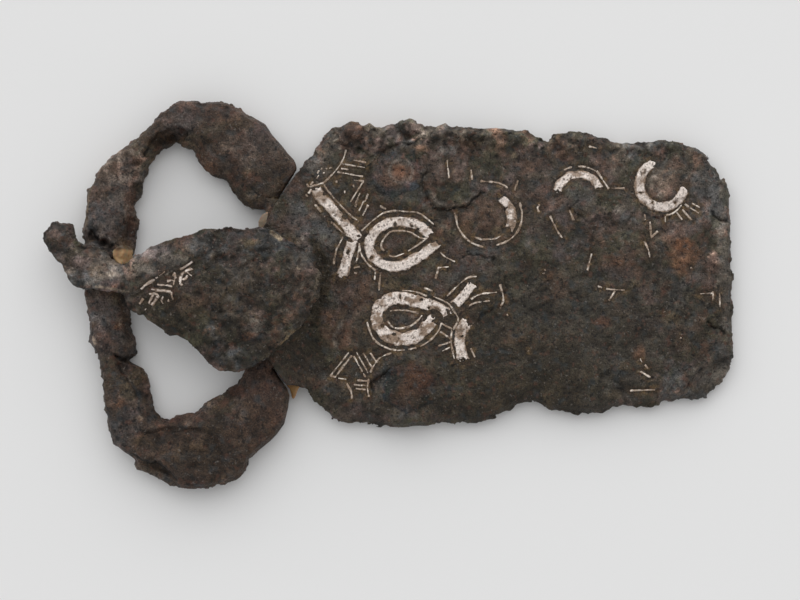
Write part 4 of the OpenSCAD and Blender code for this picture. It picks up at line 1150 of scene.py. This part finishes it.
def hollow(solid, beads):
    """Cuts round hollows out of a solid: X, Y, Z and radius of each."""
    index, at = solid.surface()
    values = solid.values[index]
    at = at + 0.35 * np.stack([rough(at, 1.8, 2, seed) for seed in (371, 373, 377)], 1)
    for x, y, z, radius in beads:
        values = np.maximum(values, radius - np.linalg.norm(at - (x, y, z), axis=1))
    solid.values[index] = values


LOOP_AREA = ((-63, -40), (-17, 40), 0.15)
LOOP_RIM = (351, 1.2, 0.36)

loop_solid = Solid("loop", COARSE_CELL)
loop_raster = sampled(*LOOP_AREA, loop_fields)
loop_solid.weather(lambda xy: loop_raster(xy)[:, 0], rim_crumble(*LOOP_RIM), iron_keep)
hollow(loop_solid, LOOP_CAVITY)
loop_top = loop_solid.top()
loop_solid.piece("loop_iron", "loop", "loop", CRUSTED, loop_paint)


# The tongue

# Edge of the upper crust on the shield, from the neck to the rear
CREASE = [
    (-51.4, 0.1), (-50.2, 0.4), (-48.8, 1.2), (-47.2, 2.3), (-45.2, 3.6), (-43, 4.7), (-40.6, 5.7),
    (-38.4, 6.8)]
TONGUE_STEPS = [(CREASE + [(-36, 8.4), (-34, 14), (-44, 13), (-52, 9)], 0.45, 0.5)]

# Swellings and hollows of the shield: X, Y, half width, half height, height
TONGUE_LUMPS = [
    (-31.6, -4.6, 5.6, 1.8, 0.35), (-19.6, 6, 5, 5, 0.4), (-37, -4.6, 3.4, 1.9, -0.35),
    (-30, 0, 3, 1.8, -0.3), (-39, 1, 3, 1.9, 0.25), (-25.6, -1, 3.4, 2, 0.3), (-33, -10, 3, 1.6, -0.3),
    (-28, -11, 2.6, 1.8, 0.3), (-45, -1.4, 4.6, 1.6, -0.3), (-33, 7, 4, 1.6, -0.25),
    (-27, 9.6, 3.4, 1.8, 0.25), (-24, -7, 3, 2, -0.25), (-64, 12, 2.4, 2, 0.25), (-63, 11.6, 1, 2.4, -0.3),
    (-40, -8, 3.4, 1.6, -0.2), (-20, -1.6, 2.6, 2, -0.25)]
TONGUE_TONE = seen(62, 57, 54)
# Among the tongue's stains, the pale patch at (-43, 6.8) on the neck's upper edge and the pale streak at
# (-31, -4.4) on a swelling of the shield are painted highlights, and the whitish ones at (-54.4, 3.6) and
# (-48, 4.8) are painted glints.
TONGUE_STAINS_AND_PAINTED_HIGHLIGHTS = [
    (-46, 8.8, 5, 2, seen(116, 108, 110), 0.7), (-43, 6.8, 4.6, 1.6, PALE, 0.6),
    (-56, 5.4, 5, 2.6, seen(98, 86, 76), 0.6), (-54.4, 3.6, 3.4, 0.9, CREAM, 0.2),
    (-48, 4.8, 2.4, 1.2, PALE, 0.6), (-66, 12.6, 2.4, 1.8, PINKISH, 0.6),
    (-63.2, 12.8, 0.7, 1.8, seen(66, 36, 44), 0.7), (-64.4, 10.4, 2, 1, RED_BROWN, 0.6),
    (-61, 6, 3, 1.8, PINKISH, 0.5), (-47.4, -1.9, 4.4, 1.8, GREENISH, 0.8),
    (-42, -5.4, 4.4, 1.8, GREENISH, 0.75), (-37, -9, 3.2, 1.6, GREENISH, 0.7),
    (-40, -2, 4.4, 2.2, RED_BROWN, 0.6), (-35, -1, 3.4, 2, RED_BROWN, 0.6),
    (-30, 4, 4, 2.4, BLUE_GREY, 0.5), (-27.6, 10.2, 2, 1.2, OCHRE, 0.85),
    (-27.8, 11.8, 1.4, 0.8, RED_BROWN, 0.6), (-25.6, -6.6, 2.6, 2, PALE, 0.6),
    (-27.6, -7.8, 0.9, 0.7, ORANGE, 0.9), (-28.6, -8.8, 0.9, 0.6, ORANGE, 0.7),
    (-22.8, -5.6, 1.2, 0.9, ORANGE, 0.7), (-33.6, -8, 2.6, 1.6, DARK, 0.55),
    (-38, -3.2, 2.6, 1.4, DARK, 0.5), (-44, -4.6, 2.4, 1.4, DARK, 0.5), (-35, 6.2, 3.4, 1, DARK, 0.5),
    (-18, 5.6, 3, 3.6, seen(92, 84, 78), 0.6), (-31, -4.4, 4, 0.9, PALE, 0.35),
    (-23, 1, 3.4, 1.8, GREENISH, 0.5), (-18.8, -8, 2, 1.4, OCHRE, 0.6), (-33, -10.6, 4, 1.4, PINKISH, 0.5),
    (-34, 11, 4, 1.4, GREENISH, 0.4), (-36.4, 4.4, 0.6, 0.4, CREAM, 0.7),
    (-28, -12.4, 4, 1.2, GREENISH, 0.6)]
TONGUE_SHADES = [
    (-58, 6.5, 14, 8, 2.4), (-31, 1, 11, 9, 0.45), (-42, -4, 7, 5, 0.4), (-26, -6, 4, 4, 1.8),
    (-66, 10.6, 4, 3, 1.9), (-46, 6, 9, 5, 1.45), (-35, 10.5, 8, 3.5, 1.8), (-47, 9, 7, 3.6, 1.4),
    (-18, 4, 4, 5, 1.4), (-63, 6, 6, 5, 1.5)]
TONGUE_STROKES = [
    # The tan line along the shield's lower rim is partly its colour and partly a painted highlight on the
    # rounded rim.
    (curve([(-23.4, -12.6), (-22.2, -11.3), (-21.2, -9.8), (-19.6, -7.9), (-17.4, -6.6)]), 0.45,
        seen(140, 122, 94), 1),
    (curve([(-18, 12.4), (-16.4, 10.8), (-14.6, 8.4), (-14, 5.3), (-14.5, 1.9), (-15.4, -1)]), 0.4,
        seen(112, 102, 90), 0.7),
    ([(-23.4, 12.4), (-22.4, 11.6), (-21.6, 11)], 0.55, seen(190, 172, 146), 1),
    # The cream line on the neck's lower ridge is a painted highlight on its edge.
    (curve([(-58, 1.6), (-55, 1.2), (-52.6, 0.7), (-51.4, 0.5)]), 0.35, CREAM, 0.5),
    # The dark line just below the crease is painted shade under the crust's step, and the pale line on the
    # crease is a painted highlight.
    (curve([(x + 0.3, y - 0.45) for x, y in CREASE]), 0.45, DARK, 0.85), (curve(CREASE), 0.4, PALE, 0.6),
    ([(-18.2, 5.3), (-17.8, 4.9)], 0.3, CREAM, 0.9),
    # The broad pale line along the neck is a painted highlight.
    (curve([(-60, 2), (-56, 3.4), (-52, 3.4), (-48.6, 4.4), (-45.6, 6)]), 0.7, PALE, 0.35)]


# Noise of the tongue's relief: size, octaves, seed and fade
TONGUE_SWELL = (6, 2, 411)
TONGUE_GRAIN = (2.4, 4, 431, COARSE_FADE)
TONGUE_FINE = (0.9, 2, 437)

# How far the face lies below the CAD's crown before lumps and steps are added
TONGUE_SUNK = 0.4

# X where the neck bends down to the tip, from its start to its end, and how far
NECK_BEND = (-46, -52)
NECK_DROP = 3
# Height, with that added, where relief starts and is full
TONGUE_KEEP = (6.4, 7.4)


def tongue_fields(xy):
    """Height above the CAD's crown, the fine part of it, and the distance outside the silver."""
    height = lumps(0.2 * rough(xy, *TONGUE_SWELL) - TONGUE_SUNK, xy, TONGUE_LUMPS, 0.3, 417)
    height = steps(height, wandering(xy, 0.4, 1.4, 423), TONGUE_STEPS)
    gap = strips_gap(xy, TONGUE_WIRES)
    clear = smooth_step(-0.2, 1.0, gap)
    fine = (0.03 + 0.19 * clear) * rough(xy, *TONGUE_GRAIN) + 0.07 * clear * rough(xy, *TONGUE_FINE)
    fine -= clear * (0.12 * pits(xy, 2.0, 441) + 0.10 * crevices(xy, 3.6, 447))
    fine -= groove(gap, 0.1)
    return np.stack([height + fine, fine, gap], 1)


def tongue_paint(at, normal):
    """Dark iron with rusty and pale stains, some pale ones painted highlights, painted shade in the hollows
    and a brown line round the silver.
    """
    fields = tongue_raster(at[:, :2])
    tone = iron_tone(at, TONGUE_TONE, 460, TONGUE_STAINS_AND_PAINTED_HIGHLIGHTS, TONGUE_STROKES, TONGUE_SHADES, 3.0)
    tone = sides(tone, normal, 0.2, 0.7, OCHRE, 0.3)
    tone = hollows(tone, fields[:, 1], 3.0, -0.4)
    return mix(tone, GROOVE, 0.5 * (1 - smooth_step(0.1, 0.5, np.abs(fields[:, 2] - 0.1))))


def tongue_keep(at):
    """0 on the eye and the underside, which stay as the CAD has them, and 1 above them."""
    return smooth_step(*TONGUE_KEEP, at[:, 2] + NECK_DROP * smooth_step(*NECK_BEND, at[:, 0]))


TONGUE_AREA = ((-70, -16), (-12, 16), 0.12)
TONGUE_RIM = (451, 1.3, 0.35)

tongue_solid = Solid("tongue", FINE_CELL)
tongue_raster = sampled(*TONGUE_AREA, tongue_fields)
tongue_solid.weather(lambda xy: tongue_raster(xy)[:, 0], rim_crumble(*TONGUE_RIM), tongue_keep)
tongue_top = tongue_solid.top()
tongue_solid.piece("tongue_iron", "tongue", "tongue", IRON, tongue_paint)


# The silver

# Thickness of the silver, and how far its face stands over the iron
LEAF = 0.16
LEAF_RISE = 0.07
SILVER_TONE = np.array([0.78, 0.69, 0.63])
WIRE_TONE = np.array([0.90, 0.82, 0.73])
SILVER_STAIN = seen(132, 108, 86)
SPECK = seen(78, 62, 48)

# Each strip reads its own row of the noise, this far from the next one's
LEAF_ROWS = 7.0

# Grid cell, raggedness of the edges, change of width along the line, and noise above which it is lost
BAND_STYLE = (0.11, 0.17, 0.08, None)
WIRE_STYLE = (0.09, 0.06, 0.4, 0.66)
NECK_STYLE = (0.09, 0.09, 0.25, None)


def leaf_grid(line, width, top, style, losses, seed):
    """A strip of leaf along a line as distances on a grid: the grid and its first point."""
    cell, ragged, swell, limit = style
    first = np.floor((line.min(0) - width) / cell).astype(int)
    counts = np.ceil((line.max(0) + width) / cell).astype(int) - first + 1
    xy = grid_points(first, counts, cell)
    gap, along = near(xy, line, width)
    row = np.full(len(along), LEAF_ROWS * seed)
    half = width / 2 * (1 + swell * noise(np.stack([along, row], 1), 1.1, seed + 3))
    edge = gap - half + ragged * rough(xy, 1.0, 4, seed, GRITTY_FADE)
    for end, inner in ((line[0], line[1]), (line[-1], line[-2])):
        way = (end - inner) / np.linalg.norm(end - inner)
        past = (xy - end) @ way + 0.3 * width * rough(xy, 0.8, 3, seed + 4)
        close = np.linalg.norm(xy - end, axis=1) < 0.8 * width
        edge = np.where(close, np.maximum(edge, past), edge)
    if limit is not None:
        lost = smooth_step(limit, limit + 0.2, noise(np.stack([along, row], 1), 1.6, seed))
        edge = edge + 0.8 * width * lost
    for x, y, across, up in losses:
        edge = edge + 2 * blob(xy, x, y, across, up, 0.4, seed)
    ground = top(xy)[:, 0]
    base = math.floor((ground[gap < width].min() - 0.3) / cell)
    levels = math.ceil((ground[gap < width].max() + 0.4) / cell) - base + 1
    z = (np.arange(levels) + base) * cell
    flat = np.abs(z[None, :] - ground[:, None] + LEAF / 2 - LEAF_RISE) - LEAF / 2
    return np.maximum(edge[:, None], flat).reshape(*counts, levels), (*first, base)


def leaf(node, body, strips, top, style, losses, stains, tone, wear, seed):
    """Thin silver over strips of line and width, on the surface below, with ragged edges and lost places."""
    all_points = []
    by_corners = {}
    count = 0
    for number, (line, width) in enumerate(strips):
        values, first = leaf_grid(np.asarray(line, float), width, top, style, losses, seed + number)
        if (values < 0).any():
            points, faces = mesh_of(values, first, style[0], LEAF_MERGE, False)
            all_points.append(points)
            for corners in faces:
                by_corners.setdefault(corners.shape[1], []).append(corners + count)
            count += len(points)

    def paint(at, normal):
        xy = at[:, :2]
        worn = wear * smooth_step(-0.1, 0.9, rough(xy, 1.4, 4, seed + 9, GRITTY_FADE))
        edge = strips_gap(xy, strips) + 0.15 * rough(xy, 0.7, 2, seed + 12)
        worn += 0.8 * smooth_step(-0.35, 0.0, edge)
        for x, y, across, up, strength in stains:
            worn += strength * blob(xy, x, y, across, up, 0.4, seed)
        for x, y, across, up in losses:
            worn += 0.7 * blob(xy, x, y, 2.0 * across, 2.0 * up, 0.4, seed)
        painted = mix(np.tile(tone, (len(at), 1)), SILVER_STAIN, np.clip(worn, 0, 0.9))
        return mix(painted, SPECK, 0.8 * smooth_step(0.5, 0.75, rough(xy, 0.5, 2, seed + 15)))

    faces = [np.concatenate(group) for group in by_corners.values()]
    points = np.concatenate(all_points)
    finish_piece(node + "_leaf", points, faces, node, body, SILVER, paint)


for number, (node, (line, width, wear)) in enumerate(BANDS.items()):
    leaf(node, "plate", [(line, width)], plate_top, BAND_STYLE, LOSSES, SILVER_STAINS, SILVER_TONE,
         wear, 600 + 10 * number)
leaf("plate_wires", "plate", [(line, WIRE) for line in PLATE_WIRES + FLECKS], plate_top,
     WIRE_STYLE, [], [], WIRE_TONE, 0.55, 700)
leaf("tongue_wires", "tongue", TONGUE_WIRES, tongue_top, NECK_STYLE, [], [], SILVER_TONE, 0.4, 830)


# The resin

# Flat fills: body, outline, tone, and the height of the top and its rise along X and Y from the
# outline's first corner
RESINS = {
    "resin_front": (
        "loop", [(-55.2, 8.6), (-54.4, 9.6), (-53.2, 10), (-52, 9.6), (-51.3, 8.4), (-51, 7.4), (-52, 6.3),
                 (-53.6, 5.9), (-54.8, 6.6), (-55.3, 7.6)], seen(172, 140, 100, 0), None),
    "resin_upper": (
        "plate", [(-26.4, 14.6), (-25.6, 15.8), (-24.8, 16.5), (-24.2, 16.6), (-24.2, 13.8), (-25, 13.2),
                  (-26.2, 13.4)], seen(146, 128, 108, 0), (2.8, 0.5, 0.2)),
    "resin_lower": (
        "plate", [(-20.9, -17.8), (-20.1, -19), (-19.7, -20.2), (-19.5, -21.1), (-18.9, -20),
                  (-18.5, -19.2), (-18.1, -18.3), (-19.4, -18), (-20.4, -17.6)],
        seen(150, 114, 68, 0), (2.2, 0.2, 0.3))}

# Thickness of a fill, its grid cell, and how far the front one stands over the loop
RESIN_DEPTH = 1.0
RESIN_CELL = 0.1
RESIN_FILM = 0.22

# Y where the front fill thins out, from full to gone, and the tone there
THIN_RESIN = (8.6, 9.2)
THIN_TONE = seen(58, 50, 42)


def resin_paint(at, node, tone):
    """A tone with slow changes, and clearer and darker where the front fill thins out."""
    painted = np.tile(tone, (len(at), 1)) * (1 + 0.12 * rough(at, 1.2, 2, 820))[:, None]
    if node == "resin_front":
        thin = smooth_step(*THIN_RESIN, at[:, 1] + 0.3 * rough(at, 1.4, 2, 830))
        painted = mix(painted, THIN_TONE, 0.85 * thin)
    return painted


def resin_top(xy, outline, slope):
    """Height of a fill's face: a slope, or a film that follows the loop."""
    if slope is None:
        height = loop_top(xy)[:, 0] + RESIN_FILM
    else:
        height = slope[0] + (xy - outline[0]) @ slope[1:]
    return height + 0.12 * rough(xy, 1.4, 2, 800)


def resin(node, body, outline, tone, slope):
    """A flat fill with a ragged edge, which stands for a node of resin."""
    corners = np.array(outline)
    first = np.floor(corners.min(0) / RESIN_CELL).astype(int) - 4
    counts = np.ceil(corners.max(0) / RESIN_CELL).astype(int) + 4 - first
    xy = grid_points(first, counts, RESIN_CELL)
    gap = near(xy, outline + outline[:1])[0]
    edge = np.where(within(xy, outline), -gap, gap) + 0.12 * rough(xy, 1.0, 3, 810)
    face = resin_top(xy, outline, slope)
    base = math.floor((face.min() - RESIN_DEPTH) / RESIN_CELL) - 3
    levels = math.ceil(face.max() / RESIN_CELL) + 4 - base
    z = (np.arange(levels) + base) * RESIN_CELL
    flat = np.abs(z[None, :] - face[:, None] + RESIN_DEPTH / 2) - RESIN_DEPTH / 2
    values = softened(np.maximum(edge[:, None], flat).reshape(*counts, levels), 2)
    points, faces = mesh_of(values, (*first, base), RESIN_CELL, MERGE, False)
    finish_piece(node + "_fill", points, faces, node, body, RESIN,
                 lambda at, normal: resin_paint(at, node, tone))


for node, fill in RESINS.items():
    resin(node, *fill)


# Floor, light and camera

# Half the floor's side, in metres
FLOOR_HALF = 2.0

# Width of the photograph on the plate and its middle there, and the camera's height over it
PHOTO_WIDTH = 160.0
PHOTO_CENTRE = (2.0, -1.05)
CAMERA_HEIGHT = 350.0
SENSOR_WIDTH = 36

# Where the light is strongest, and its strength: from, to, strength at each, by the angle off
# that way and by the height over the horizon
LIGHT_FROM = (-0.1, 0.85, 0.5)
LIGHT_SIDE = (0.3, 1.0, 0.78, 2.66)
LIGHT_HEIGHT = (0.0, 1.0, 1.6, 0.3)


def floor():
    """A pale square under the flat back."""
    mesh = bpy.data.meshes.new("floor")
    corners = [(x * FLOOR_HALF, y * FLOOR_HALF, 0) for x, y in ((-1, -1), (1, -1), (1, 1), (-1, 1))]
    mesh.from_pydata(corners, [], [(0, 1, 2, 3)])
    obj = bpy.data.objects.new("floor", mesh)
    bpy.context.scene.collection.objects.link(obj)
    shader = Shader("floor")
    tone = shader.spread(shader.grain(400, 2), 0.3, 0.7, 0.8, 0.82)
    shader.link(tone, shader.surface, "Base Color")
    shader.surface.inputs["Roughness"].default_value = 0.9
    shader.surface.inputs["Specular IOR Level"].default_value = 0.0
    mesh.materials.append(shader.material)


def dome_light():
    """A soft dome, brightest low down and towards the photograph's upper edge."""
    world = bpy.data.worlds.new("dome")
    bpy.context.scene.world = world
    world.use_nodes = True
    nodes = world.node_tree.nodes
    links = world.node_tree.links
    place = nodes.new("ShaderNodeTexCoord").outputs["Generated"]
    dot = nodes.new("ShaderNodeVectorMath")
    dot.operation = "DOT_PRODUCT"
    links.new(place, dot.inputs[0])
    dot.inputs[1].default_value = Vector(LIGHT_FROM).normalized()
    split = nodes.new("ShaderNodeSeparateXYZ")
    links.new(place, split.inputs[0])
    both = nodes.new("ShaderNodeMath")
    both.operation = "MULTIPLY"
    for number, (source, low, high, to_low, to_high) in enumerate((
            (dot.outputs["Value"], *LIGHT_SIDE), (split.outputs["Z"], *LIGHT_HEIGHT))):
        spread = nodes.new("ShaderNodeMapRange")
        spread.interpolation_type = "SMOOTHSTEP"
        for socket, value in (("From Min", low), ("From Max", high), ("To Min", to_low), ("To Max", to_high)):
            spread.inputs[socket].default_value = value
        links.new(source, spread.inputs["Value"])
        links.new(spread.outputs["Result"], both.inputs[number])
    links.new(both.outputs[0], nodes["Background"].inputs["Strength"])
    nodes["Background"].inputs["Color"].default_value = (1.0, 1.0, 1.0, 1)


def camera():
    """Straight down on the photograph's middle."""
    data = bpy.data.cameras.new("camera")
    data.sensor_width = SENSOR_WIDTH
    data.lens = data.sensor_width * CAMERA_HEIGHT / PHOTO_WIDTH
    data.dof.use_dof = False
    data.clip_start = 0.01
    data.clip_end = 10
    obj = bpy.data.objects.new("camera", data)
    obj.location = (PHOTO_CENTRE[0] * MM, PHOTO_CENTRE[1] * MM, (CAMERA_HEIGHT + PLATE_TOP) * MM)
    bpy.context.scene.collection.objects.link(obj)
    bpy.context.scene.camera = obj


floor()
dome_light()
camera()
bpy.context.scene.view_settings.view_transform = "Standard"
